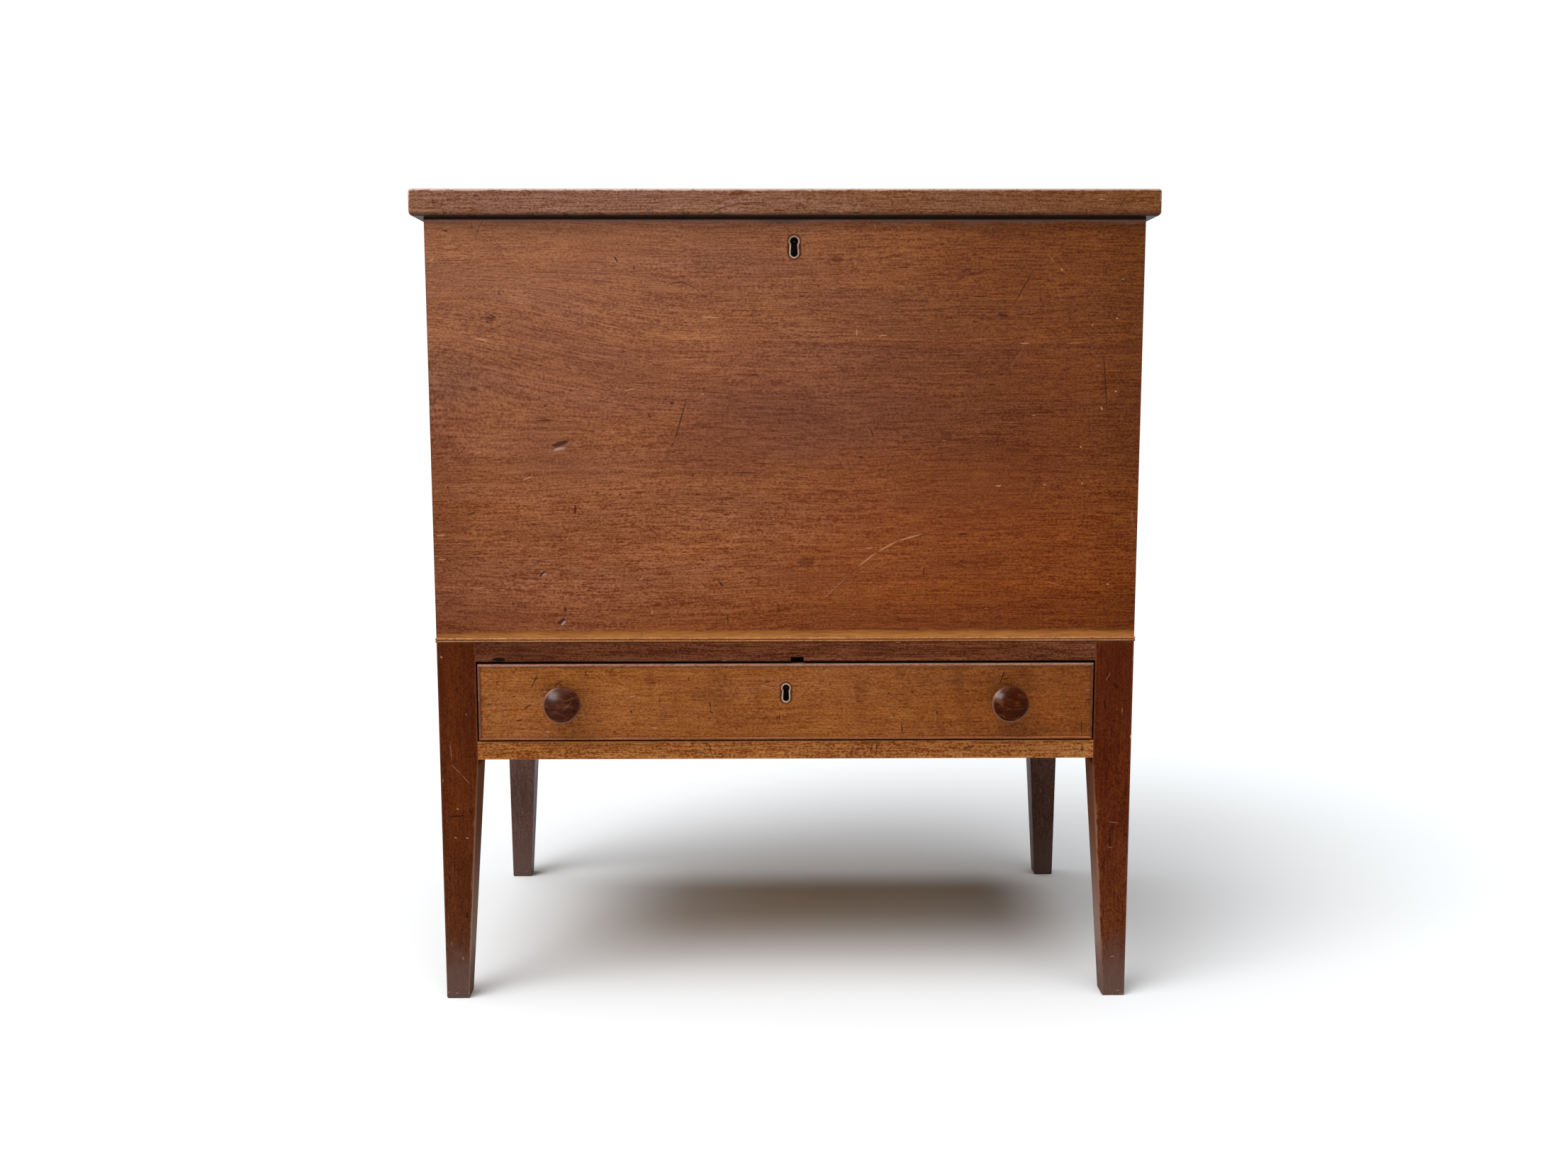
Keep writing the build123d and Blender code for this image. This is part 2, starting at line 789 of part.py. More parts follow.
with BuildPart() as lid:
    block((-lid_half, lid_half), (lid_front, lid_back), (case_top, lid_top))
    fillet(lid.edges().filter_by(Axis.Z), lid_corner_radius)
    fillet(lid.faces().sort_by(Axis.Z)[-1].edges(), lid_top_radius)
    under = lid.faces().sort_by(Axis.Z)[0].edges()
    back_edge = under.sort_by(Axis.Y)[-1]
    fillet([edge for edge in under if edge.center().Y < middle_y + case_depth / 3], lid_lower_radius)
    for x in hinge_x.values():
        block(
            about(x, hinge_length + 2 * hinge_barrel_gap),
            (back - hinge_leaf_width, lid_back),
            (case_top, case_top + leaf_plane_gap + hinge_leaf),
            Mode.SUBTRACT,
        )
        block(
            about(x, hinge_length + 2 * hinge_barrel_gap),
            (hinge_y - hinge_barrel_radius - hinge_barrel_gap, lid_back),
            (case_top, case_top + hinge_barrel_radius + hinge_barrel_gap),
            Mode.SUBTRACT,
        )
    block(
        about(hasp_x, hasp_plate_length),
        about(hasp_y, hasp_plate_width),
        (case_top, case_top + lock_plate),
        Mode.SUBTRACT,
    )
    pilot(lid_leaf_screws, screw_length)
    pilot(hasp_screws, screw_length)
    pilot(cleat_screws, cleat_screw_length)
save(lid.part, "lid_board")

for side, name in sides:
    x = about(side * cleat_x, cleat_width)
    y = (inner_front + cleat_end_gap, inner_back - cleat_end_gap)
    with BuildPart() as lid_cleat:
        block(x, y, (case_top - cleat_board, case_top))
        chamfer(lid_cleat.faces().sort_by(Axis.Z)[0].edges(), cleat_chamfer)
        countersink([plane for plane in cleat_screws if plane.origin.X * side > 0])
    save(lid_cleat.part, f"lid_cleat_{name}")

with BuildPart() as hasp:
    block(about(hasp_x, hasp_plate_length), about(hasp_y, hasp_plate_width), (case_top, case_top + lock_plate))
    countersink(hasp_screws)
    block(
        about(hasp_x, hasp_loop_thickness),
        about(hasp_y, hasp_loop_width),
        (case_top - hasp_loop_reach, case_top),
    )
    block(
        about(hasp_x, hasp_loop_thickness),
        about(hasp_y, hasp_loop_width - 2 * hasp_loop_wire),
        (case_top - hasp_loop_reach + hasp_loop_wire, case_top - hasp_loop_wire),
        Mode.SUBTRACT,
    )
save(hasp.part, "lid_hasp")

save(screws(cleat_screws, cleat_screw_length), "lid_cleat_screws")
save(screws(hasp_screws, screw_length), "lid_hasp_screws")


# ---------------------------------------------------------------- hinges


def knuckles(x, first, gap, radius, mode=Mode.ADD):
    """Every second knuckle of a hinge centred at x, starting with number first."""
    pitch = hinge_length / hinge_knuckle_count
    for i in range(first, hinge_knuckle_count, 2):
        start = x - hinge_length / 2 + i * pitch + gap / 2
        plane = Plane(origin=(start, hinge_y, case_top), z_dir=(1, 0, 0))
        rod(plane, radius, pitch - gap, mode)


def hinge_half(x, own, other, leaf_z, screw_planes):
    """One leaf with its own knuckles, clear of the other leaf's, bored for the pin."""
    with BuildPart() as leaf:
        block(about(x, hinge_length), (back - hinge_leaf_width, hinge_y), leaf_z)
        clear = hinge_barrel_radius + hinge_barrel_gap
        knuckles(x, other, -hinge_knuckle_gap, clear, Mode.SUBTRACT)
        knuckles(x, own, hinge_knuckle_gap, hinge_barrel_radius)
        bore = Plane(origin=(x - hinge_length / 2, hinge_y, case_top), z_dir=(1, 0, 0))
        rod(bore, hinge_pin_radius + hinge_pin_gap, hinge_length, Mode.SUBTRACT)
        countersink(screw_planes)
    return leaf.part


for name, x in hinge_x.items():
    low_leaf = (case_top - leaf_plane_gap - hinge_leaf, case_top - leaf_plane_gap)
    high_leaf = (case_top + leaf_plane_gap, case_top + leaf_plane_gap + hinge_leaf)
    near = [plane for plane in case_leaf_screws if abs(plane.origin.X - x) < hinge_length / 2]
    save(hinge_half(x, 0, 1, low_leaf, near), f"hinge_{name}_case_leaf")
    near = [plane for plane in lid_leaf_screws if abs(plane.origin.X - x) < hinge_length / 2]
    save(hinge_half(x, 1, 0, high_leaf, near), f"hinge_{name}_lid_leaf")

with BuildPart() as hinge_pins:
    for x in hinge_x.values():
        start = Plane(origin=(x - hinge_length / 2, hinge_y, case_top), z_dir=(1, 0, 0))
        rod(start, hinge_pin_radius, hinge_length)
save(hinge_pins.part, "hinge_pins")

save(screws(case_leaf_screws, screw_length), "hinge_case_screws")
save(screws(lid_leaf_screws, screw_length), "hinge_lid_screws")


# ---------------------------------------------------------------- bin lock


def cut_lock_keyhole(outline, depth):
    """Cut a keyhole through the front wall of a lock's box."""
    with BuildSketch(upright(front)) as hole:
        outline()
    extrude(hole.sketch, amount=depth, dir=(0, 1, 0), mode=Mode.SUBTRACT)


def key_pin(x, z, root):
    """The pin that a pipe key turns on, from a lock's back plate into the keyhole."""
    tip = front + key_pin_setback
    rod(Plane(origin=(x, tip, z), z_dir=(0, 1, 0)), key_pin_radius, root - tip)


lid_bolt_y = about(hasp_y, lid_bolt_thickness)
lid_bolt_start = lid_bolt_end - lid_bolt_length

with BuildPart() as lid_lock:
    box_front = inner_front - lid_lock_depth
    lock_body(lid_lock_x, case_top, inner_front, lid_lock_depth, lid_lock_box_width)
    lock_hollow(lid_lock_x, case_top, inner_front, lid_lock_depth, lid_lock_box_width)
    cut_lock_keyhole(lid_keyhole, box_front + lock_wall - front)
    key_pin(lid_keyhole_offset, lid_key_z, inner_front - lock_plate)
    # Ledge behind the bolt, from the box's left wall to just short of the hasp
    block(
        (lid_lock_x - lid_lock_box_width / 2 + lock_wall, lid_bolt_end),
        (lid_bolt_y[1] + running_gap, inner_front - lock_plate),
        (lid_bolt_low, lid_bolt_low + lid_bolt_height),
    )
    # Slot for the hasp
    block(
        about(hasp_x, hasp_loop_thickness + 3 * lock_slack),
        about(hasp_y, hasp_loop_width + 3 * lock_slack),
        (case_top - lock_plate, case_top),
        Mode.SUBTRACT,
    )
    countersink(lid_lock_screws)
save(lid_lock.part, "lid_lock")

with BuildPart() as lid_lock_bolt:
    with BuildSketch(upright(lid_bolt_y[0])) as bar:
        low = lid_bolt_low
        talon_x = lid_keyhole_offset - lid_bolt_throw / 2
        notch = lid_bolt_talon / 3
        Polygon(
            (lid_bolt_start, low),
            (talon_x - lid_bolt_talon, low),
            (talon_x - lid_bolt_talon, low - lid_bolt_talon),
            (talon_x - notch, low - lid_bolt_talon),
            (talon_x - notch, low - notch),
            (talon_x + notch, low - notch),
            (talon_x + notch, low - lid_bolt_talon),
            (talon_x + lid_bolt_talon, low - lid_bolt_talon),
            (talon_x + lid_bolt_talon, low),
            (lid_bolt_end, low),
            (lid_bolt_end, low + lid_bolt_height),
            (lid_bolt_start, low + lid_bolt_height),
            align=None,
        )
    extrude(bar.sketch, amount=lid_bolt_thickness, dir=(0, 1, 0))
save(lid_lock_bolt.part, "lid_lock_bolt")

save(screws(lid_lock_screws, screw_length), "lid_lock_screws")


# ---------------------------------------------------------------- drawer


def drawer_tails(side, root, tip, high, mode=Mode.ADD):
    """The tails on a drawer side, or their sockets in the drawer's front or back."""
    plane = Plane.YZ.offset(min(side * drawer_half, side * drawer_inner_half))
    low = drawer_groove_top if tip > root else drawer_low + drawer_tail_margin
    tails(plane, root, tip, low, high, drawer_tail_count, drawer_pin, drawer_side_board, mode)


def bead_seat(x, z):
    """Cut the rebate for one cockbead in the drawer front's edge."""
    block(x, (front, front + cockbead_let_in), z, Mode.SUBTRACT)


drawer_x = (-drawer_half, drawer_half)
drawer_z = (drawer_low, drawer_top)
front_tail_top = drawer_side_top - drawer_tail_margin
back_tail_top = drawer_back_top - drawer_tail_margin

with BuildPart() as drawer_front:
    block(drawer_x, (front, drawer_inner), drawer_z)
    for side, _ in sides:
        drawer_tails(side, drawer_inner, front + drawer_lap, front_tail_top, Mode.SUBTRACT)
        bead_seat(span(side * drawer_half, side * (drawer_half - cockbead_thickness)), drawer_z)
    bead_seat(drawer_x, (drawer_low, drawer_low + cockbead_thickness))
    bead_seat(drawer_x, (drawer_top - cockbead_thickness, drawer_top))
    block(
        (-drawer_inner_half, drawer_inner_half),
        (drawer_inner - drawer_groove, drawer_inner),
        (drawer_groove_low, drawer_groove_top),
        Mode.SUBTRACT,
    )
    cut_keyhole(drawer_keyhole, drawer_front_board)
    lock_body(
        drawer_lock_x,
        drawer_top,
        drawer_inner,
        drawer_lock_depth,
        drawer_lock_box_width,
        Mode.SUBTRACT,
    )
    pilot(drawer_lock_screws, screw_length)
    for side, _ in sides:
        hole = Plane(origin=(side * knob_x, front, knob_z), z_dir=(0, 1, 0))
        rod(hole, knob_tenon_radius, drawer_front_board, Mode.SUBTRACT)
save(drawer_front.part, "drawer_front")

for side, name in sides:
    thickness = span(side * drawer_half, side * drawer_inner_half)
    with BuildPart() as drawer_side:
        block(
            thickness,
            (drawer_inner, drawer_end - drawer_side_board),
            (drawer_low, drawer_side_top),
        )
        # Below the back board the side runs on to the drawer's end
        block(
            thickness,
            (drawer_end - drawer_side_board, drawer_end),
            (drawer_low, drawer_groove_top),
        )
        drawer_tails(side, drawer_inner, front + drawer_lap, front_tail_top)
        drawer_tails(side, drawer_end - drawer_side_board, drawer_end, back_tail_top)
        block(
            span(side * drawer_inner_half, side * (drawer_inner_half + drawer_groove)),
            (drawer_inner, drawer_end),
            (drawer_groove_low, drawer_groove_top),
            Mode.SUBTRACT,
        )
    save(drawer_side.part, f"drawer_side_{name}")

with BuildPart() as drawer_back:
    block(drawer_x, (drawer_end - drawer_side_board, drawer_end), (drawer_groove_top, drawer_back_top))
    for side, _ in sides:
        drawer_tails(
            side, drawer_end - drawer_side_board, drawer_end, back_tail_top, Mode.SUBTRACT
        )
save(drawer_back.part, "drawer_back")

# The bottom is one board, its underside bevelled to a tongue that sits in the grooves
with BuildPart() as drawer_bottom:
    tongue = (drawer_groove_low, drawer_groove_top)
    groove_half = drawer_inner_half + drawer_groove
    inner = (-drawer_inner_half, drawer_inner_half)
    block(inner, (drawer_inner - drawer_groove, drawer_end), tongue)
    block((-groove_half, groove_half), (drawer_inner, drawer_end), tongue)
    bevel_y = about((drawer_inner + drawer_end) / 2, drawer_end - drawer_inner)
    for level, inset in ((0, 0), (-drawer_bottom_bevel, drawer_bottom_bevel_width)):
        with BuildSketch(Plane.XY.offset(drawer_groove_low + level)):
            with Locations((0, (drawer_inner + drawer_end) / 2)):
                Rectangle(2 * (drawer_inner_half - inset), bevel_y[1] - bevel_y[0] - 2 * inset)
    loft()
save(drawer_bottom.part, "drawer_bottom")

# Cockbeads, rounded in front and mitred at the corners
bead_front = front - cockbead_proud
bead_back = front + cockbead_let_in


def cockbead_profile(plane, low, high):
    """Cross-section of a cockbead between low and high; the first axis runs to the back."""
    start = bead_front + cockbead_thickness / 2
    with BuildSketch(plane) as profile:
        with BuildLine():
            Line((bead_back, high), (bead_back, low))
            Line((bead_back, low), (start, low))
            ThreePointArc((start, low), (bead_front, (low + high) / 2), (start, high))
            Line((start, high), (bead_back, high))
        make_face()
    return profile.sketch


def bead_mitre(side, level, toward):
    """The mitre plane at a corner of the drawer front."""
    return Plane(origin=(side * drawer_half, front, level), z_dir=(-side, 0, -toward))


for level, toward, name in ((drawer_top, 1, "top"), (drawer_low, -1, "bottom")):
    section = cockbead_profile(
        Plane.YZ.offset(-drawer_half), *span(level, level - toward * cockbead_thickness)
    )
    with BuildPart() as cockbead:
        extrude(section, amount=2 * drawer_half, dir=(1, 0, 0))
        for side, _ in sides:
            split(bisect_by=bead_mitre(side, level, -toward), keep=Keep.TOP)
    save(cockbead.part, f"cockbead_{name}")

for side, name in sides:
    edge = side * drawer_half
    foot = Plane(origin=(0, 0, drawer_low), x_dir=(0, 1, 0), z_dir=(0, 0, -1))
    section = cockbead_profile(foot, *span(edge, edge - side * cockbead_thickness))
    with BuildPart() as cockbead:
        extrude(section, amount=drawer_top - drawer_low, dir=(0, 0, 1))
        for level, toward in ((drawer_top, 1), (drawer_low, -1)):
            split(bisect_by=bead_mitre(side, level, -toward), keep=Keep.BOTTOM)
    save(cockbead.part, f"cockbead_{name}")

# Turned knobs: tenon, foot, hollow neck, rim and dome
for side, name in sides:
    axis_plane = Plane(
        origin=(side * knob_x, front, knob_z), x_dir=(1, 0, 0), z_dir=(0, 0, -1)
    )
    with BuildPart() as knob:
        with BuildSketch(axis_plane) as profile:
            with BuildLine():
                Polyline(
                    (0, -drawer_front_board),
                    (knob_tenon_radius, -drawer_front_board),
                    (knob_tenon_radius, 0),
                    (knob_foot_radius, 0),
                )
                ThreePointArc(
                    (knob_foot_radius, 0),
                    (knob_neck_radius, knob_neck_reach),
                    (knob_radius, knob_back_reach),
                )
                Line((knob_radius, knob_back_reach), (knob_radius, knob_rim_reach))
                Line((knob_radius, knob_rim_reach), (knob_dome_radius, knob_dome_start))
                TangentArc((0, knob_reach), (knob_dome_radius, knob_dome_start), tangent=(1, 0))
                Line((0, knob_reach), (0, -drawer_front_board))
            make_face()
        revolve(profile.sketch, axis=Axis(axis_plane.origin, (0, -1, 0)))
    save(knob.part, f"knob_{name}")

with BuildPart() as drawer_escutcheon:
    with BuildSketch(upright(front - escutcheon_proud)) as ring:
        drawer_keyhole(escutcheon_wall)
    extrude(ring.sketch, amount=escutcheon_depth + escutcheon_proud, dir=(0, 1, 0))
    with BuildSketch(upright(front - escutcheon_proud)) as hole:
        drawer_keyhole()
    extrude(hole.sketch, amount=drawer_front_board, dir=(0, 1, 0), mode=Mode.SUBTRACT)
save(drawer_escutcheon.part, "drawer_escutcheon")

with BuildPart() as drawer_lock:
    lock_body(drawer_lock_x, drawer_top, drawer_inner, drawer_lock_depth, drawer_lock_box_width)
    lock_hollow(drawer_lock_x, drawer_top, drawer_inner, drawer_lock_depth, drawer_lock_box_width)
    cut_lock_keyhole(drawer_keyhole, drawer_front_board - drawer_lock_depth + lock_wall)
    key_pin(drawer_key_x, drawer_key_z, drawer_inner - lock_plate)
    block(
        about(drawer_bolt_x, drawer_bolt_width + 2 * running_gap),
        (drawer_bolt_back - drawer_bolt_thickness - running_gap, drawer_inner - lock_plate),
        (drawer_top - lock_plate, drawer_top),
        Mode.SUBTRACT,
    )
    countersink(drawer_lock_screws)
save(drawer_lock.part, "drawer_lock")

with BuildPart() as drawer_lock_bolt:
    left = drawer_bolt_x - drawer_bolt_width / 2
    right = drawer_bolt_x + drawer_bolt_width / 2
    bolt_low = drawer_bolt_top - drawer_bolt_length
    arm_low = drawer_key_z + 1.5 * drawer_keyhole_radius
    with BuildSketch(upright(drawer_bolt_back - drawer_bolt_thickness)) as plate:
        Polygon(
            (left, bolt_low),
            (right, bolt_low),
            (right, drawer_bolt_top),
            (left, drawer_bolt_top),
            (left, arm_low + drawer_bolt_talon),
            (drawer_key_x - drawer_bolt_talon, arm_low + drawer_bolt_talon),
            (drawer_key_x - drawer_bolt_talon, arm_low),
            (left, arm_low),
            align=None,
        )
    extrude(plate.sketch, amount=drawer_bolt_thickness, dir=(0, 1, 0))
save(drawer_lock_bolt.part, "drawer_lock_bolt")

save(screws(drawer_lock_screws, screw_length), "drawer_lock_screws")
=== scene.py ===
import math
import bpy
from mathutils import Matrix, Vector


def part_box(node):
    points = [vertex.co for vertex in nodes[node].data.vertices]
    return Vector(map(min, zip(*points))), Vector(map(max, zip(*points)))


# Looks of the sugar chest. Metres; every CAD node keeps its mesh and gets a procedural material,
# worked out in the chest's own coordinates.

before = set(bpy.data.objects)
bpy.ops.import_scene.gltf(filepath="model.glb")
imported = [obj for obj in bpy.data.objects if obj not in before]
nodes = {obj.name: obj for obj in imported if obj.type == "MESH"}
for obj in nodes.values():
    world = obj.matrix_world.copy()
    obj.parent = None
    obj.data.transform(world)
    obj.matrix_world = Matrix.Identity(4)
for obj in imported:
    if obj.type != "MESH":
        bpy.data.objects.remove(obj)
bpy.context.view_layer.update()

# Levels of the chest
WAIST = 0.425
CASE_TOP = 0.901
LID_TOP = 0.930
# Vertices below this height belong to a foot's chamfer
FOOT_CHAMFER = 0.003

# Strokes up to this half width are drawn fainter
HAIRLINE = 0.0007
# Reach of a stroke into the wood, so that it stays on the front face
STROKE_DEPTH = 0.012
# Reach of the painted shadow round a keyhole plate
PLATE_SHADOW = 0.0030


# ---------------------------------------------------------------- node-tree helpers


def srgb(r, g, b):
    """A colour given as sRGB values from 0 to 255, as linear light."""

    def lin(c):
        c = c / 255
        return c / 12.92 if c <= 0.04045 else ((c + 0.055) / 1.055) ** 2.4

    return (lin(r), lin(g), lin(b), 1.0)


def strokes_at(*rows):
    """Strokes on the front face, from tenths of a millimetre: x, z, x, z, half width."""
    return [((a / 1e4, b / 1e4), (c / 1e4, d / 1e4), w / 1e4) for a, b, c, d, w in rows]


class Tree:
    """A material's node tree, with short calls that return output sockets."""

    def __init__(self, name):
        self.mat = bpy.data.materials.new(name)
        self.mat.use_nodes = True
        self.t = self.mat.node_tree
        self.bsdf = next(n for n in self.t.nodes if n.type == "BSDF_PRINCIPLED")

    def new(self, kind, **props):
        node = self.t.nodes.new(kind)
        for k, v in props.items():
            setattr(node, k, v)
        return node

    def put(self, socket, value):
        if isinstance(value, bpy.types.NodeSocket):
            self.t.links.new(value, socket)
        else:
            socket.default_value = value

    def math(self, op, a, b=0.0, c=0.0):
        node = self.new("ShaderNodeMath", operation=op)
        for i, v in enumerate((a, b, c)):
            if i < len(node.inputs):
                self.put(node.inputs[i], v)
        return node.outputs[0]

    def add(self, a, b):
        return self.math("ADD", a, b)

    def sub(self, a, b):
        return self.math("SUBTRACT", a, b)

    def mul(self, a, b):
        return self.math("MULTIPLY", a, b)

    def vec(self, op, a, b=(0, 0, 0)):
        node = self.new("ShaderNodeVectorMath", operation=op)
        self.put(node.inputs[0], a)
        self.put(node.inputs[3 if op == "SCALE" else 1], b)
        return node.outputs[1 if op == "LENGTH" else 0]

    def coords(self):
        return self.new("ShaderNodeTexCoord").outputs["Object"]

    def split(self, v):
        node = self.new("ShaderNodeSeparateXYZ")
        self.put(node.inputs[0], v)
        return node.outputs

    def join(self, x, y, z):
        node = self.new("ShaderNodeCombineXYZ")
        for s, v in zip(node.inputs, (x, y, z)):
            self.put(s, v)
        return node.outputs[0]

    def map(self, v, scale=(1, 1, 1), loc=(0, 0, 0), rot=(0, 0, 0)):
        node = self.new("ShaderNodeMapping")
        self.put(node.inputs["Vector"], v)
        node.inputs["Location"].default_value = loc
        node.inputs["Rotation"].default_value = rot
        node.inputs["Scale"].default_value = scale
        return node.outputs[0]

    def noise(self, v, scale, detail, rough=0.5, distort=0.0, color=False):
        node = self.new("ShaderNodeTexNoise")
        self.put(node.inputs["Vector"], v)
        node.inputs["Scale"].default_value = scale
        node.inputs["Detail"].default_value = detail
        node.inputs["Roughness"].default_value = rough
        node.inputs["Distortion"].default_value = distort
        return node.outputs["Color" if color else "Fac"]

    def line_noise(self, w, scale, detail, rough=0.5):
        node = self.new("ShaderNodeTexNoise", noise_dimensions="1D")
        self.put(node.inputs["W"], w)
        node.inputs["Scale"].default_value = scale
        node.inputs["Detail"].default_value = detail
        node.inputs["Roughness"].default_value = rough
        return node.outputs["Fac"]

    def cells(self, v, scale):
        node = self.new("ShaderNodeTexVoronoi")
        self.put(node.inputs["Vector"], v)
        node.inputs["Scale"].default_value = scale
        return node.outputs

    def step(self, v, low, high, a=0.0, b=1.0):
        """Smooth rise from a at low to b at high."""
        node = self.new("ShaderNodeMapRange", interpolation_type="SMOOTHSTEP")
        for s, x in zip(node.inputs, (v, low, high, a, b)):
            self.put(s, x)
        return node.outputs[0]

    def fall(self, v, low, high):
        """Smooth fall from 1 at low to 0 at high."""
        return self.step(v, low, high, 1.0, 0.0)

    def off(self, v, middle):
        """How far a value is from a middle."""
        return self.math("ABSOLUTE", self.sub(v, middle))

    def mix(self, fac, a, b, blend="MIX"):
        node = self.new("ShaderNodeMix", data_type="RGBA", blend_type=blend)
        self.put(node.inputs[0], fac)
        self.put(node.inputs[6], a)
        self.put(node.inputs[7], b)
        return node.outputs[2]

    def fmix(self, fac, a, b):
        node = self.new("ShaderNodeMix", data_type="FLOAT")
        self.put(node.inputs[0], fac)
        self.put(node.inputs[2], a)
        self.put(node.inputs[3], b)
        return node.outputs[0]

    def top(self, a, b):
        return self.math("MAXIMUM", a, b)

    def edge(self, p, box):
        """Distance from the nearest edge of a box, on its faces."""
        lo, hi = box
        mid = tuple((a + b) / 2 for a, b in zip(lo, hi))
        half = tuple((b - a) / 2 for a, b in zip(lo, hi))
        d = self.vec("SUBTRACT", self.vec("ABSOLUTE", self.vec("SUBTRACT", p, mid)), half)
        x, y, z = self.split(d)
        most = self.top(self.top(x, y), z)
        least = self.math("MINIMUM", self.math("MINIMUM", x, y), z)
        total = self.add(self.add(x, y), z)
        return self.math("MULTIPLY", self.sub(self.sub(total, most), least), -1.0)

    def sum(self, items):
        total = items[0]
        for item in items[1:]:
            total = self.add(total, item)
        return total

    def bump(self, height, distance):
        node = self.new("ShaderNodeBump")
        node.inputs["Distance"].default_value = distance
        self.put(node.inputs["Height"], height)
        return node.outputs[0]


# ---------------------------------------------------------------- wood

CHERRY = srgb(128, 73, 40)
POST = srgb(80, 31, 4)
# the post colour as seen in shade with a sheen, painted on the rear legs
POST_SHADE_AND_SHEEN = srgb(82, 55, 47)
RAIL = srgb(95, 50, 27)
HONEY = srgb(141, 82, 39)
BEAD = srgb(168, 109, 62)
LID = srgb(135, 91, 67)
POPLAR = srgb(158, 120, 76)
BLACK = srgb(14, 8, 6)
GRIME = srgb(40, 23, 15)

AXIS_TURN = {"x": (0, 0, 0), "y": (0, 0, math.radians(-90)), "z": (0, math.radians(90), 0)}


class Wood(Tree):
    """Solid wood: growth rings round a pith beside the board, fibres, flecks, wear and dirt.

    base is the board's own colour. Every kind of figure only makes it deeper and redder, or
    paler. seed shifts the figure, pith and tilt place the tree's middle beside the board, ring
    is the number of growth rings in a metre, and sway is how far the fibres wander. rings,
    lines, flecks and clouds say how strong each kind of figure is. bend fans the figure out.
    """

    # Factors on red, green and blue at both ends of the broad and of the fine figure
    DEEP = (0.46, 0.32, 0.24, 1)
    PALE = (1.54, 1.68, 1.76, 1)
    FINE_DEEP = (0.55, 0.33, 0.12, 1)
    FINE_PALE = (1.45, 1.67, 1.88, 1)
    COOL = (0.96, 0.98, 1.14, 1)
    WARM = (1.04, 1.02, 0.86, 1)
    # How far one step of the seed moves the figure
    SEED_SHIFT = (3.17, 1.31, 2.23)

    def __init__(self, name, grain, base, seed, ring, pith=(0.03, 0.12), tilt=0.05,
                 sway=0.05, rings=0.3, lines=0.8, flecks=1.0, clouds=0.3, bend=None):
        super().__init__(name)
        self.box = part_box(name)
        self.p = self.coords()
        centre = tuple((a + b) / 2 for a, b in zip(*self.box))
        place = self.p
        if bend:
            # the figure fans out from x = end to x = start, by lift, round the level of the heart
            start, end, lift, heart, high = bend
            px, _, pz = self.split(place)
            spread = self.step(pz, heart - 0.07, heart + 0.08, -0.3, 1.0)
            fan = self.mul(spread, self.step(px, start, end, lift, 0.0))
            fan = self.mul(fan, self.fall(pz, high - 0.06, high))
            rise = self.mul(fan, self.step(pz, heart - 0.20, heart - 0.07))
            place = self.vec("SUBTRACT", place, self.join(0.0, 0.0, rise))
        local = self.vec("SUBTRACT", place, centre)
        # q: x along the grain, y and z across it; flow: q with the wander of the fibres
        turned = self.map(local, rot=AXIS_TURN[grain])
        q = self.vec("ADD", turned, tuple(seed * shift for shift in self.SEED_SHIFT))
        self.q = q
        drift = self.noise(self.map(q, scale=(2.2, 5, 5)), 1.0, 2.0, 0.5, color=True)
        drift = self.vec("SUBTRACT", drift, (0.5, 0.5, 0.5))
        wander = self.vec("MULTIPLY", drift, (0.0, sway * 2, sway * 2))
        self.flow = self.vec("ADD", q, self.vec("SCALE", wander, 0.25))
        x, y, z = self.split(self.vec("ADD", turned, wander))
        ry = self.sum([y, pith[0], self.mul(x, tilt)])
        rz = self.add(z, pith[1])
        radius = self.math("SQRT", self.add(self.mul(ry, ry), self.mul(rz, rz)))
        radius = self.add(radius, seed * 0.7)
        wide = self.line_noise(radius, ring, 1.0, 0.5)
        fine = self.line_noise(radius, ring * 9, 1.0, 0.5)
        self.fibres = self.noise(self.map(self.flow, scale=(9, 520, 520)), 1.0, 1.0, 0.8)
        self.hair = self.noise(self.map(self.flow, scale=(50, 600, 600)), 1.0, 1.0, 0.8)
        fleck = self.noise(self.map(self.flow, scale=(380, 640, 640)), 1.0, 0.0)
        cloud = self.noise(self.map(self.flow, scale=(4, 18, 18)), 1.0, 2.0, 0.55, 0.3)
        hue = self.noise(self.map(self.flow, scale=(3, 22, 22), loc=(0, 3, 1)), 1.0, 3.0, 0.6)
        broad = self.sum([
            0.5,
            self.mul(self.sub(wide, 0.5), rings),
            self.mul(self.sub(fine, 0.5), rings * 0.6),
            self.mul(self.sub(cloud, 0.5), clouds),
        ])
        close = self.sum([
            0.5,
            self.mul(self.sub(self.fibres, 0.5), lines),
            self.mul(self.sub(self.hair, 0.5), lines * 1.2),
            self.mul(self.sub(fleck, 0.5), flecks),
        ])
        hue = self.step(hue, 0.3, 0.7)
        self.tone = self.tinge(base, self.mix(broad, self.DEEP, self.PALE))
        self.tone = self.tinge(self.tone, self.mix(hue, self.COOL, self.WARM))
        self.tone = self.tinge(self.tone, self.mix(close, self.FINE_DEEP, self.FINE_PALE))
        self.height = self.math("MULTIPLY_ADD", self.fibres, 0.5, self.mul(self.hair, 0.5))

    def tinge(self, tone, factor):
        """A tone multiplied by a factor for each of its channels."""
        return self.mix(1.0, tone, factor, "MULTIPLY")

    def change(self, mask, factor, amount=None):
        """Multiply the tone where the mask is 1, by amount of the factor's effect."""
        mask = mask if amount is None else self.mul(mask, amount)
        self.tone = self.tinge(self.tone, self.mix(mask, (1, 1, 1, 1), factor))

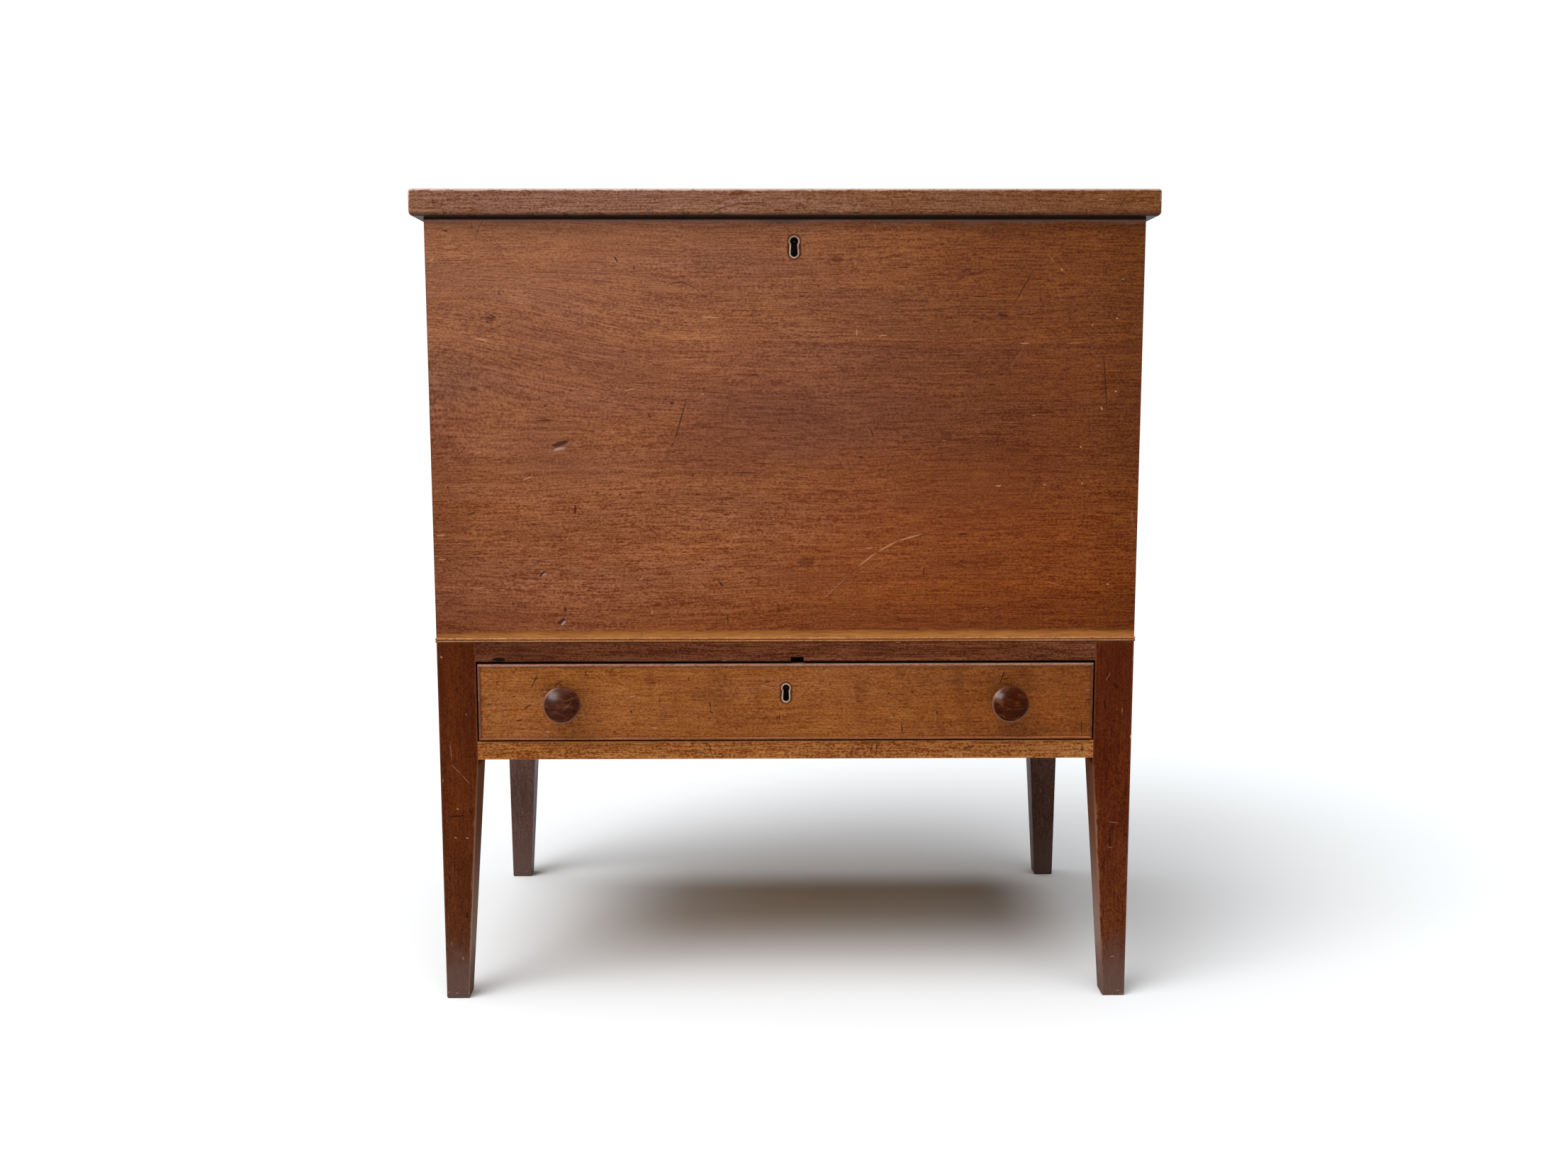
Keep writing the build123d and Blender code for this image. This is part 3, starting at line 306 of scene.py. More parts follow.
    def tint(self, mask, color, amount=None):
        """Put a colour over the tone where the mask is 1, as thick as amount."""
        mask = mask if amount is None else self.mul(mask, amount)
        self.tone = self.mix(mask, self.tone, color)

    def paint_sheen(self, mask, color):
        """A thin pale haze added to the colour: a painted sheen."""
        self.tone = self.mix(mask, self.tone, color, "ADD")

    def age(self, amount, dirt=(0.012, 0.005, 0.002, 1)):
        """Small pits, short dark and pale nicks along the grain, and shallow bruises."""
        # shape: cell sizes along and across the grain, share of cells used, radius, strength
        nicks = (
            ((16, 150, 150), 0.80, 0.11, 0.60, dirt),
            ((42, 210, 210), 0.72, 0.13, 0.50, dirt),
            ((52, 60, 60), 0.86, 0.060, 0.90, dirt),
            ((40, 160, 160), 0.86, 0.13, 0.40, (0.50, 0.32, 0.19, 1)),
        )
        shift = self.vec("SCALE", self.noise(self.p, 45, 1.0, color=True), 0.006)
        place = self.vec("ADD", self.q, shift)
        for i, (size, share, radius, strength, color) in enumerate(nicks):
            grid = self.cells(self.map(place, scale=size, loc=(i * 7.3, i, 0)), 1.0)
            pick = self.split(grid["Color"])
            keep = self.step(pick[0], share, share + 0.03)
            reach = self.math("MULTIPLY_ADD", pick[1], radius, radius * 0.5)
            part = self.math("DIVIDE", grid["Distance"], reach)
            nick = self.mul(self.fall(part, 0.45, 1.0), keep)
            self.tint(nick, color, strength * amount)
            self.height = self.sub(self.height, self.mul(nick, 2.0))

    def scratches(self, amount, light=(0.42, 0.24, 0.13, 1)):
        """Long hair-thin arcs, pale and dark, in patches."""
        dark = (0.02, 0.008, 0.003, 1)
        for seed, color, part in ((3.0, light, amount), (9.0, dark, amount * 1.2)):
            v = self.vec("ADD", self.p, (seed, seed * 2, seed * 3))
            way = self.off(self.noise(v, 7.0, 0.0), 0.5)
            patch = self.step(self.noise(v, 13.0, 2.0), 0.54, 0.66)
            self.tint(self.mul(self.fall(way, 0.0008, 0.0022), patch), color, part)

    def wear(self, width, amount, color):
        """Rubbed, paler arrises, ragged along their length."""
        d = self.edge(self.p, self.box)
        ragged = self.noise(self.p, 90.0, 4.0, 0.65)
        reach = self.math("MULTIPLY_ADD", ragged, width * 2.4, -width * 0.6)
        self.tint(self.fall(self.sub(d, reach), -width * 0.4, width * 0.5), color, amount)

    def oval(self, a, b, width):
        """1 in the middle of a stroke on the front face, falling evenly to 0 at its rim."""
        dx, dz = b[0] - a[0], b[1] - a[1]
        middle = ((a[0] + b[0]) / 2, self.box[0][1], (a[1] + b[1]) / 2)
        node = self.new("ShaderNodeMapping", vector_type="TEXTURE")
        self.put(node.inputs["Vector"], self.p)
        node.inputs["Location"].default_value = middle
        node.inputs["Rotation"].default_value = (0, -math.atan2(dz, dx), 0)
        node.inputs["Scale"].default_value = (math.hypot(dx, dz) / 2 + width, STROKE_DEPTH, width)
        ball = self.new("ShaderNodeTexGradient", gradient_type="SPHERICAL")
        self.put(ball.inputs["Vector"], node.outputs[0])
        return ball.outputs["Fac"]

    def marks(self, strokes):
        """1 along the middle of each stroke, 0 from its rim outward."""
        most = 0.0
        for a, b, width in strokes:
            most = self.top(most, self.oval(a, b, width))
        return self.step(most, 0.0, 0.4)

    def spot(self, centre, rx, rz):
        """1 in the middle of an oval on the front face, 0 at its rim."""
        x, z = centre
        return self.step(self.oval((x - rx + rz, z), (x + rx - rz, z), rz), 0.0, 0.8)

    def halo(self, plate, reach):
        """1 at the outline of an upright plate on the front face, 0 at reach from it."""
        (x0, _, z0), (x1, _, z1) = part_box(plate)
        half = (x1 - x0) / 2
        x, _, z = self.split(self.p)
        dx = self.sub(x, (x0 + x1) / 2)
        dz = self.off(z, (z0 + z1) / 2)
        dz = self.top(self.sub(dz, (z1 - z0) / 2 - half), 0.0)
        d = self.math("SQRT", self.add(self.mul(dx, dx), self.mul(dz, dz)))
        return self.fall(d, half, half + reach)

    def strokes(self, items, color, faint, strong):
        """Strokes on the front face; the hair-thin ones are fainter."""
        thin = [m for m in items if m[2] <= HAIRLINE]
        wide = [m for m in items if m[2] > HAIRLINE]
        for part, amount in ((thin, faint), (wide, strong)):
            if part:
                self.tint(self.marks(part), color, amount)

    def lid_shadow_and_grime(self, z, low, high, amount, across, outer, inner):
        """Painted shadow and dirt: a black line on the outer face under the lid; grime on the top
        edge.
        """
        line = self.step(z, CASE_TOP - low, CASE_TOP - high, 0.0, amount)
        self.tint(self.mul(line, self.fall(across, outer, inner)), BLACK)
        edge = self.step(z, CASE_TOP - 0.0015, CASE_TOP - 0.0005, 0.0, 0.8)
        self.tint(self.mul(edge, self.noise(self.p, 40.0, 3.0, 0.6)), GRIME)

    def finish(self, rough=0.46, spec=0.05, bump=0.0002):
        """Join the tone, an uneven shine and the relief to the shader; gives the material."""
        shine = self.noise(self.p, 14.0, 4.0, 0.6)
        shine = self.math("MULTIPLY_ADD", shine, 0.20, rough - 0.1)
        self.put(self.bsdf.inputs["Base Color"], self.tone)
        self.put(self.bsdf.inputs["Roughness"], shine)
        self.bsdf.inputs["Specular IOR Level"].default_value = spec
        self.put(self.bsdf.inputs["Normal"], self.bump(self.height, bump))
        return self.mat


def lay(name, mat):
    """Give a node one material."""
    obj = nodes[name]
    obj.data.materials.clear()
    obj.data.materials.append(mat)


# Bin front: cherry with a painted sheen towards its upper left, and a strip of pale sapwood along
# its lower edge. Places and factors are read off the photo; a factor is on red, green and blue.
FRONT_SEED = 1.0
w = Wood("case_front", "x", CHERRY, seed=FRONT_SEED, pith=(0.16, -0.03), ring=40, tilt=0.05,
         sway=0.06, rings=0.18, lines=1.15, flecks=1.35, clouds=0.3,
         bend=(-0.40, -0.10, 0.042, 0.69, 0.86))
x, y, z = w.split(w.p)
# paler and greyer to the left with a painted sheen, darker and redder wood to the right
shade = w.step(x, -0.10, 0.33)
w.tone = w.tinge(w.tone, w.mix(shade, (1.13, 1.14, 1.25, 1), (0.72, 0.60, 0.40, 1)))
red = w.noise(w.map(w.p, scale=(2.6, 2.6, 5.0), loc=(0.4, 0, 0.2)), 1.0, 3.0, 0.55)
w.tint(w.step(red, 0.40, 0.68, 0.0, 0.45), srgb(104, 52, 30))
# golden wood above, browner heart below it, between wavy growth lines
middle_z = (w.box[0][2] + w.box[1][2]) / 2
back_to_chest = (0.0, 0.0, FRONT_SEED * Wood.SEED_SHIFT[2] - middle_z)
flow = w.split(w.vec("SUBTRACT", w.flow, back_to_chest))[2]
above, below = w.step(flow, 0.763, 0.772), w.fall(flow, 0.60, 0.66)
heart = w.mul(w.sub(1.0, w.top(above, below)), w.step(x, -0.42, 0.0, 0.35, 1.0))
w.change(heart, (0.91, 0.86, 0.90, 1))
w.change(w.spot((0.10, 0.71), 0.25, 0.10), (0.86, 0.88, 1.0, 1), 0.5)
w.change(w.spot((-0.385, 0.725), 0.065, 0.060), (0.80, 0.82, 0.92, 1), 0.8)
w.change(w.mul(w.fall(x, -0.22, -0.02), w.step(z, 0.56, 0.66)), (1.12, 1.16, 1.15, 1))
w.change(w.mul(w.step(x, -0.08, 0.12), w.spot((0.2, 0.53), 0.6, 0.13)), (1.14, 1.02, 0.78, 1))
w.change(w.mul(w.step(x, -0.25, 0.0), w.fall(z, 0.45, 0.56)), (1.0, 0.94, 0.72, 1))
for level in (0.771, 0.7485, 0.735):
    line = w.fall(w.off(flow, level), 0.0, 0.0016)
    w.change(w.mul(line, w.step(w.fibres, 0.35, 0.6)), (1.20, 1.22, 1.18, 1))
# painted sheen and painted light above; darker above the waist and towards both ends
sheen_mask = w.mul(w.step(z, 0.50, 0.88, 0.15, 1.0), w.step(x, -0.36, 0.36, 1.0, 0.25))
w.paint_sheen(sheen_mask, (0.026, 0.026, 0.025, 1))
# painted light along the top, against the shade of the lid's overhang
upper = w.mul(w.step(z, 0.84, 0.895), w.step(x, -0.05, 0.25, 1.0, 0.3))
w.change(upper, (1.28, 1.30, 1.22, 1))
lowest = w.mul(w.fall(z, 0.447, 0.495), w.step(x, -0.1, 0.2, 1.0, 0.55))
w.change(lowest, (0.82, 0.74, 0.68, 1))
w.change(w.step(x, 0.33, 0.39), (0.82, 0.80, 0.66, 1))
# a paler patch at the upper left: painted sheen
w.change(w.spot((-0.235, 0.842), 0.150, 0.052), (1.14, 1.14, 1.13, 1))
w.change(w.mul(w.fall(x, -0.39, -0.34), w.fall(z, 0.66, 0.70)), (0.84, 0.80, 0.80, 1))
w.age(1.0)
w.scratches(0.45, srgb(148, 97, 64))
# sapwood: a wavy line about a centimetre above the waist, with wisps along it
wave = w.noise(w.map(w.p, scale=(17, 0, 0)), 1.0, 3.0, 0.6)
wisp = w.noise(w.map(w.p, scale=(60, 0, 900)), 1.0, 2.0, 0.6)
line = w.add(w.math("MULTIPLY_ADD", wave, 0.007, WAIST + 0.0095), w.mul(wisp, 0.0016))
line = w.add(line, w.step(x, -0.40, -0.30, -0.0030, 0.0))
sap = w.step(w.sub(line, z), -0.0006, 0.0022)
pale = w.step(w.sub(line, z), 0.0, 0.0085)
sapwood = w.mix(pale, srgb(142, 84, 38), srgb(172, 112, 56))
grainy = w.math("MULTIPLY_ADD", w.sub(w.hair, 0.5), 0.9, 0.5)
sapwood = w.tinge(sapwood, w.mix(grainy, w.FINE_DEEP, w.FINE_PALE))
w.tint(sap, sapwood, 0.92)
# marks read off the photo
dark_marks = strokes_at(
    (-1094, 7075, -1275, 6481, 9), (3556, 7599, 3634, 6762, 8), (3407, 6873, 3440, 6483, 7),
    (2783, 8472, 2515, 8006, 8), (969, 6875, 1027, 6598, 7), (383, 4679, 923, 5216, 6),
    (-1900, 8580, -1865, 8520, 13), (-1286, 6965, -1270, 6965, 20), (-1521, 8581, -1298, 8586, 7),
    (-3781, 8863, -3745, 8860, 14), (-3870, 8786, -3752, 8783, 6), (-2847, 8421, -2585, 8406, 6),
    (-2914, 8326, -2769, 8370, 6), (-3198, 8197, -3173, 8163, 9), (-1759, 8416, -1628, 8426, 7),
    (-1680, 8473, -1698, 8437, 8), (-3436, 7925, -3226, 7910, 8), (-3304, 7951, -3226, 7912, 12),
    (-3327, 7868, -3324, 7868, 14), (-3436, 7426, -3356, 7478, 7), (-3845, 7405, -3630, 7562, 6),
    (-3494, 7705, -2884, 7938, 7), (-1331, 7966, -1186, 7974, 7), (-2804, 6774, -2618, 6779, 9),
    (-2708, 6932, -2689, 6945, 10), (-1542, 6846, -1524, 6799, 10), (-3197, 6943, -3189, 6943, 13),
    (-385, 7282, -306, 7282, 10), (-1975, 7194, -1287, 7188, 6), (-2764, 7389, -2732, 7386, 10),
    (-1289, 6486, -1267, 6521, 11), (-1057, 6146, -1046, 6167, 12), (-2154, 5960, -2106, 5968, 10),
    (-1882, 5941, -1861, 5941, 12), (-1019, 5937, -992, 5943, 11), (-1268, 5908, -1262, 5911, 11),
    (-738, 6001, -727, 6001, 11), (-728, 5867, -723, 5846, 10), (-2985, 6377, -2981, 6311, 7),
    (-2553, 6062, -2594, 6004, 7), (-3615, 5711, -3507, 5743, 10), (-2372, 5712, -1931, 5708, 7),
    (-2386, 5816, -2388, 5723, 16), (-2896, 5613, -2802, 5602, 8), (-2579, 5414, -2512, 5425, 8),
    (-3246, 5167, -3238, 5167, 12), (-3123, 4698, -3110, 4698, 14), (-3284, 5064, -3130, 4752, 7),
    (-2983, 4697, -2820, 4779, 6), (-2111, 5021, -2073, 5018, 10), (-1654, 4972, -1520, 4952, 8),
    (-771, 4951, -712, 4891, 12), (-2281, 4843, -2213, 4848, 10), (-671, 4575, -661, 4455, 9),
    (-630, 6188, -269, 6179, 9), (-1537, 6184, -630, 6182, 5), (-1654, 4380, -1647, 4298, 7),
    (-3455, 5186, -3401, 5189, 9), (-2526, 4655, -2522, 4601, 18), (-3819, 6027, -3814, 6024, 13),
    (-2724, 6774, -2671, 6774, 12), (-613, 4279, -586, 4279, 10), (1241, 8461, 1368, 8463, 8),
    (142, 8145, 204, 8145, 9), (482, 7903, 567, 7903, 8), (2077, 8139, 2275, 8150, 9),
    (2363, 7947, 2497, 7927, 13), (2483, 7575, 2539, 7139, 6), (748, 8320, 825, 8253, 6),
    (867, 7220, 910, 7253, 8), (-57, 6860, 456, 6831, 6), (2257, 8383, 2908, 8336, 6),
    (2841, 8119, 2856, 8105, 12), (354, 8273, 368, 8259, 8), (2090, 8604, 2135, 8596, 10),
    (3254, 8631, 3262, 8629, 10), (3596, 6836, 3697, 6827, 7), (2152, 6965, 2279, 7013, 7),
    (2277, 7168, 2362, 7173, 10), (1051, 7338, 1094, 7281, 7), (-91, 6797, -57, 6732, 8),
    (1958, 5485, 2079, 5487, 11), (1898, 5221, 1918, 5221, 12), (1581, 5103, 1565, 5016, 9),
    (1490, 6104, 1605, 6103, 8), (2867, 6145, 2891, 6110, 10), (3085, 6038, 3088, 6024, 10),
    (835, 6370, 875, 6347, 13), (1276, 6626, 1264, 6427, 7), (1252, 6427, 1131, 6204, 7),
    (947, 6697, 994, 6569, 8), (1327, 6654, 1829, 6511, 5), (2599, 6695, 3059, 6567, 6),
    (2717, 6516, 2740, 6499, 12), (447, 4662, 456, 4659, 13), (1979, 4948, 2037, 4942, 9),
    (3963, 4484, 3977, 4484, 12), (-159, 5670, -144, 5667, 12), (-173, 5598, -116, 5595, 8),
    (2627, 6709, 2513, 6681, 8), (3726, 6691, 3772, 6674, 9), (1478, 4408, 1508, 4396, 10),
)
w.strokes(dark_marks, srgb(52, 22, 12), 0.42, 0.78)
stains = strokes_at(
    (530, 8550, 614, 8550, 40), (175, 5168, 280, 5168, 65), (-3510, 7132, -3470, 7132, 36),
    (1781, 6597, 1841, 6597, 55), (-3310, 7899, -3250, 7899, 26), (2360, 7936, 2450, 7936, 28),
)
w.tint(w.marks(stains), srgb(72, 36, 24), 0.5)
w.tint(w.spot((-0.005, 0.8985), 0.040, 0.0070), srgb(46, 24, 16), 0.8)
light_marks = strokes_at(
    (-3943, 8532, -3902, 8566, 10), (-2176, 7821, -1729, 7727, 6), (-3143, 8094, -2907, 8068, 7),
    (-2339, 7535, -1760, 7443, 6), (-1496, 7424, -781, 7466, 6), (-1817, 7099, -1684, 7136, 8),
    (-938, 7067, -927, 7067, 10), (-2086, 8442, -2073, 8442, 9), (-3482, 7692, -3312, 7653, 12),
    (-963, 7924, -726, 7911, 9), (-2978, 6106, -2857, 6148, 8), (-3969, 5476, -3862, 5486, 9),
    (-1535, 4582, -1524, 4604, 11), (-145, 5662, -134, 5662, 10), (-3951, 5201, -3870, 5206, 8),
    (-3432, 6590, -3099, 6626, 6), (-3296, 6178, -2923, 6202, 6), (-1673, 4966, -1632, 4990, 8),
    (2907, 8618, 3017, 8485, 6), (3069, 8446, 3086, 8430, 12), (793, 7780, 794, 7711, 9),
    (1035, 7708, 1134, 7719, 8), (2624, 7628, 2729, 7628, 9), (3136, 7625, 3348, 7636, 6),
    (3710, 7096, 3721, 7090, 11), (3551, 6918, 3567, 6890, 12), (3699, 7902, 3711, 7902, 10),
    (3429, 7829, 3437, 7829, 9), (1181, 8898, 1187, 8849, 7), (984, 8926, 990, 8898, 8),
    (1107, 7506, 1136, 7464, 6), (404, 4721, 764, 5061, 7), (807, 5104, 1037, 5284, 9),
    (1037, 5284, 1267, 5408, 10), (1267, 5408, 1560, 5491, 10), (42, 5476, 143, 5511, 7),
    (907, 5325, 993, 5333, 9), (3675, 4909, 3684, 4906, 12), (3331, 6475, 3336, 6472, 13),
    (3355, 6061, 3361, 6061, 10), (2965, 4487, 2999, 4522, 7), (2891, 4963, 3212, 4872, 6),
    (2381, 6031, 2439, 6036, 10), (2927, 6047, 2941, 6044, 10),
)
w.strokes(light_marks, srgb(198, 143, 103), 0.28, 0.62)
# dents: painted shade on the upper side and a painted highlight on the lower lip, over a dip
hollows = strokes_at(
    (-2624, 6490, -2450, 6541, 26), (-2600, 4465, -2534, 4522, 20), (-2799, 5012, -2750, 5060, 15),
)
lips = strokes_at(
    (-2620, 6443, -2489, 6471, 24), (-2568, 4448, -2519, 4497, 18), (-2775, 5016, -2726, 5052, 12),
)
hollow, lip = w.marks(hollows), w.marks(lips)
w.tint(hollow, srgb(58, 30, 28), 0.85)
w.tint(lip, srgb(176, 136, 124), 0.85)
w.height = w.sub(w.height, w.mul(w.top(hollow, lip), 10.0))
# a dark ring round the keyhole plate: painted shadow
w.tint(w.halo("case_escutcheon", PLATE_SHADOW), srgb(58, 27, 13), 0.95)
w.wear(0.0014, 0.45, srgb(96, 48, 28))
# a greyish band just below the lid: painted shade under its overhang
fringe = w.math("MULTIPLY_ADD", w.noise(w.p, 30.0, 3.0, 0.6), 0.014, CASE_TOP - 0.0155)
w.tint(w.step(w.sub(z, fringe), 0.0, 0.004), srgb(120, 92, 84), 0.55)
front_face = w.box[0][1]
# a black line under the lid, painted shadow and dirt, and grime on the top edge
w.lid_shadow_and_grime(z, 0.0040, 0.0020, 0.97, y, front_face + 0.0010, front_face + 0.0025)
lay("case_front", w.finish())

# Other boards of the bin
for name, grain, seed, pith, rough in (
    ("case_side_left", "y", 2.0, (0.14, 0.02), 0.46),
    ("case_side_right", "y", 3.0, (0.14, 0.02), 0.46),
    ("case_back", "x", 4.0, (0.05, 0.14), 0.52),
):
    w = Wood(name, grain, CHERRY, seed=seed, pith=pith, ring=40, sway=0.06, rings=0.2,
             lines=1.15, flecks=1.35, clouds=0.35)
    x, y, z = w.split(w.p)
    # a painted sheen, stronger higher up
    w.paint_sheen(w.step(z, 0.50, 0.88), (0.016, 0.016, 0.015, 1))
    w.age(1.0)
    w.scratches(0.45)
    w.wear(0.0016, 0.5, srgb(112, 62, 36))
    lo, hi = w.box
    across, outer, inner = {
        "case_side_left": (x, lo[0], lo[0] + 0.0025),
        "case_side_right": (x, hi[0], hi[0] - 0.0025),
        "case_back": (y, hi[1], hi[1] - 0.0025),
    }[name]
    # a black line under the lid, painted shadow and dirt, and grime on the top edge
    w.lid_shadow_and_grime(z, 0.0045, 0.0015, 0.9, across, outer, inner)
    lay(name, w.finish(rough=rough))

# Lid: paler and pinker to the left, darker and redder to the right, and worn by hands
w = Wood("lid_board", "x", LID, seed=5.0, pith=(-0.05, 0.10), ring=38, sway=0.05, rings=0.3,
         lines=1.0, flecks=1.15, clouds=0.38)
x, _, z = w.split(w.p)
w.change(w.step(x, -0.20, 0.40), (0.66, 0.55, 0.38, 1))
w.age(1.3)
w.scratches(0.6)
w.wear(0.0014, 0.5, srgb(196, 158, 138))
# the upper arris is a pale ragged band, rubbed and with a painted highlight, with small dark chips
ragged = w.noise(w.map(w.p, scale=(1, 1.6, 1.6)), 120.0, 5.0, 0.7)
reach = w.math("MULTIPLY_ADD", ragged, 0.0048, -0.0003)
rub = w.fall(w.sub(w.edge(w.p, w.box), reach), -0.0008, 0.0008)
rub = w.mul(w.mul(rub, w.step(z, LID_TOP - 0.015, LID_TOP - 0.012)),
            w.step(x, -0.30, 0.40, 0.88, 0.50))
w.tint(rub, srgb(208, 176, 158))
chips = w.step(w.noise(w.p, 210.0, 2.0, 0.5), 0.64, 0.68)
chips = w.mul(chips, w.step(z, LID_TOP - 0.0085, LID_TOP - 0.006))
w.tint(chips, srgb(92, 56, 40), 0.7)
bruised = w.step(w.noise(w.p, 60.0, 3.0, 0.6), 0.58, 0.66)
w.tint(w.mul(bruised, w.fall(z, CASE_TOP, CASE_TOP + 0.011)), srgb(70, 40, 28), 0.6)
# the lower arris and the overhang's underside are darkened with painted shade and dirt
rim = w.edge(w.p, w.box)
lower = w.mul(w.step(z, CASE_TOP + 0.0005, CASE_TOP + 0.0050, 0.75, 0.0),
              w.fall(rim, 0.0055, 0.0080))
w.tint(lower, srgb(46, 26, 18))
smear = w.math("MULTIPLY_ADD", w.noise(w.p, 55.0, 3.0, 0.6), -0.010, w.add(rim, 0.005))
under = w.mul(w.fall(z, CASE_TOP + 0.0002, CASE_TOP + 0.0012), w.fall(smear, 0.0140, 0.0175))
w.tint(w.mul(under, w.step(rim, 0.003, 0.012, 0.78, 0.93)), srgb(20, 12, 8))
lay("lid_board", w.finish(rough=0.42))

# Stand. Each front leg has its dark and its light marks
LEG_MARKS = {
    "leg_front_left": (
        strokes_at(
            (-3923, 2199, -3725, 2217, 12), (-3674, 2283, -3648, 2242, 14),
            (-3739, 1042, -3734, 984, 16), (-3763, 379, -3754, 250, 22),
            (-3870, 299, -3840, 267, 14), (-3835, 1560, -3773, 1575, 10),
            (-3928, 1497, -3924, 1433, 9), (-3984, 621, -3968, 557, 11),
            (-3754, 3355, -3695, 3293, 7),
        ),
        strokes_at(
            (-3955, 4085, -3944, 4079, 12), (-3817, 2296, -3808, 2293, 11),
            (-3717, 1947, -3702, 1944, 10), (-3854, 1954, -3839, 1948, 9),
            (-3883, 2835, -3757, 2704, 6), (-3757, 2704, -3654, 2579, 6),
            (-3882, 3093, -3864, 2860, 6), (-3803, 508, -3797, 476, 9),
        ),
    ),
    "leg_front_right": (
        strokes_at(
            (3776, 3764, 3820, 3684, 14), (3813, 3740, 3832, 3703, 12),
            (3700, 3887, 3720, 3795, 11), (3681, 3555, 3690, 3456, 12),
            (3616, 3116, 3672, 3085, 7), (3781, 1932, 3790, 1837, 13), (3762, 1973, 3775, 1951, 9),
            (3721, 1657, 3716, 1603, 11), (3698, 1584, 3711, 1552, 14),
            (3959, 1972, 3978, 1937, 14), (3790, 2554, 3814, 2535, 8), (3874, 2146, 3887, 2114, 8),
            (3696, 956, 3709, 908, 9), (3778, 635, 3793, 554, 10), (3885, 811, 3899, 779, 9),
        ),
        strokes_at(
            (3950, 30, 3988, 10, 16), (4000, 23, 4016, 17, 13), (3990, 3146, 3998, 3102, 11),
            (3832, 477, 3869, 483, 9), (3748, 1815, 3828, 1799, 6), (3752, 2115, 3881, 2099, 6),
            (3684, 3780, 3742, 3887, 6),
        ),
    ),
}
for i, name in enumerate(("leg_front_left", "leg_front_right", "leg_rear_left", "leg_rear_right")):
    rear, left = "rear" in name, "left" in name
    # the rear legs take the post colour as seen in shade with a sheen
    w = Wood(name, "z", POST_SHADE_AND_SHEEN if rear else POST, seed=6.0 + i, pith=(0.03, 0.05), ring=60,
             tilt=0.02, sway=0.03, rings=0.3, lines=0.7, flecks=1.2, clouds=0.5)
    x, y, z = w.split(w.p)
    # a painted sheen: stronger on the rear left leg, faint on the front ones
    if rear and left:
        w.paint_sheen(1.0, (0.014, 0.012, 0.012, 1))
    if not rear:
        w.paint_sheen(1.0, (0.006, 0.005, 0.004, 1) if left else (0.0, 0.001, 0.003, 1))
    patch = w.noise(w.map(w.p, scale=(16, 16, 9), loc=(i, 0, 0)), 1.0, 4.0, 0.6)
    w.change(w.step(patch, 0.46, 0.64), (1.26, 1.30, 1.42, 1), 0.7)
    w.change(w.step(patch, 0.48, 0.34), (0.80, 0.76, 0.70, 1), 0.6)
    if not rear:
        w.change(w.fall(z, 0.08, 0.26), (1.12, 1.45, 1.7, 1) if left else (1.34, 1.9, 2.2, 1))
    w.age(1.1)
    w.scratches(0.55)
    w.wear(0.0020, 0.5, srgb(112, 66, 42))
    if not rear:
        dark, light = LEG_MARKS[name]
        w.strokes(dark, srgb(40, 18, 10), 0.4, 0.8)
        w.strokes(light, srgb(176, 132, 104), 0.35, 0.8)
        # the tapered inner face is rubbed and painted paler, a painted sheen in place of gloss,
        # more so towards the foot; its arris is rubbed; they run from square to foot
        lo, hi = w.box
        inward, square = (1, hi[0]) if left else (-1, lo[0])
        feet = [nodes[name].matrix_world @ v.co for v in nodes[name].data.vertices]
        foot = max(inward * v.x for v in feet if v.z < FOOT_CHAMFER) * inward
        taper_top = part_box("lower_rail")[0][2]
        inner = w.math("MULTIPLY_ADD", z, (square - foot) / taper_top, foot)
        side = w.off(x, inner)
        face = w.mul(w.fall(side, 0.0006, 0.0014), w.fall(z, 0.276, 0.284))
        w.tint(face, srgb(108, 72, 54), 0.85)
        w.tint(w.mul(face, w.step(z, 0.05, 0.22, 0.6, 0.0)), srgb(172, 148, 138))
        off = w.top(side, w.off(y, lo[1]))
        ragged = w.noise(w.p, 70.0, 4.0, 0.65)
        reach = w.math("MULTIPLY_ADD", ragged, 0.0080, -0.0022)
        rub = w.mul(w.fall(w.sub(off, reach), -0.0008, 0.0010), w.fall(z, 0.20, 0.27))
        w.tint(rub, srgb(140, 96, 72), 0.45 if left else 0.75)
    ragged = w.noise(w.p, 38.0, 3.0, 0.6)
    worn = w.fall(w.math("MULTIPLY_ADD", ragged, -0.06, z), -0.018, 0.060)
    w.tint(worn, srgb(100, 78, 71), 0.78)
    chip = w.mul(w.step(w.noise(w.p, 240.0, 2.0), 0.66, 0.69), w.fall(z, 0.002, 0.020))
    w.tint(chip, srgb(168, 144, 128), 0.85)
    # a front leg's inner face is seen so flat that any gloss would turn it grey
    lay(name, w.finish(rough=0.42, spec=0.05 if rear else 0.0))

w = Wood("upper_rail", "x", RAIL, seed=11.0, pith=(0.02, 0.02), ring=70, tilt=0.03, sway=0.05,
         rings=0.7, lines=1.5, flecks=1.6, clouds=0.6)
streak = w.noise(w.map(w.flow, scale=(5, 170, 170)), 1.0, 1.0, 0.6)
w.change(w.step(streak, 0.52, 0.64), (0.72, 0.70, 0.70, 1), 0.6)
w.change(w.step(streak, 0.46, 0.36), (1.22, 1.26, 1.30, 1), 0.6)
w.age(1.0)
w.wear(0.0010, 0.5, srgb(70, 34, 20))
z = w.split(w.p)[2]
lower_edge = w.box[0][2]
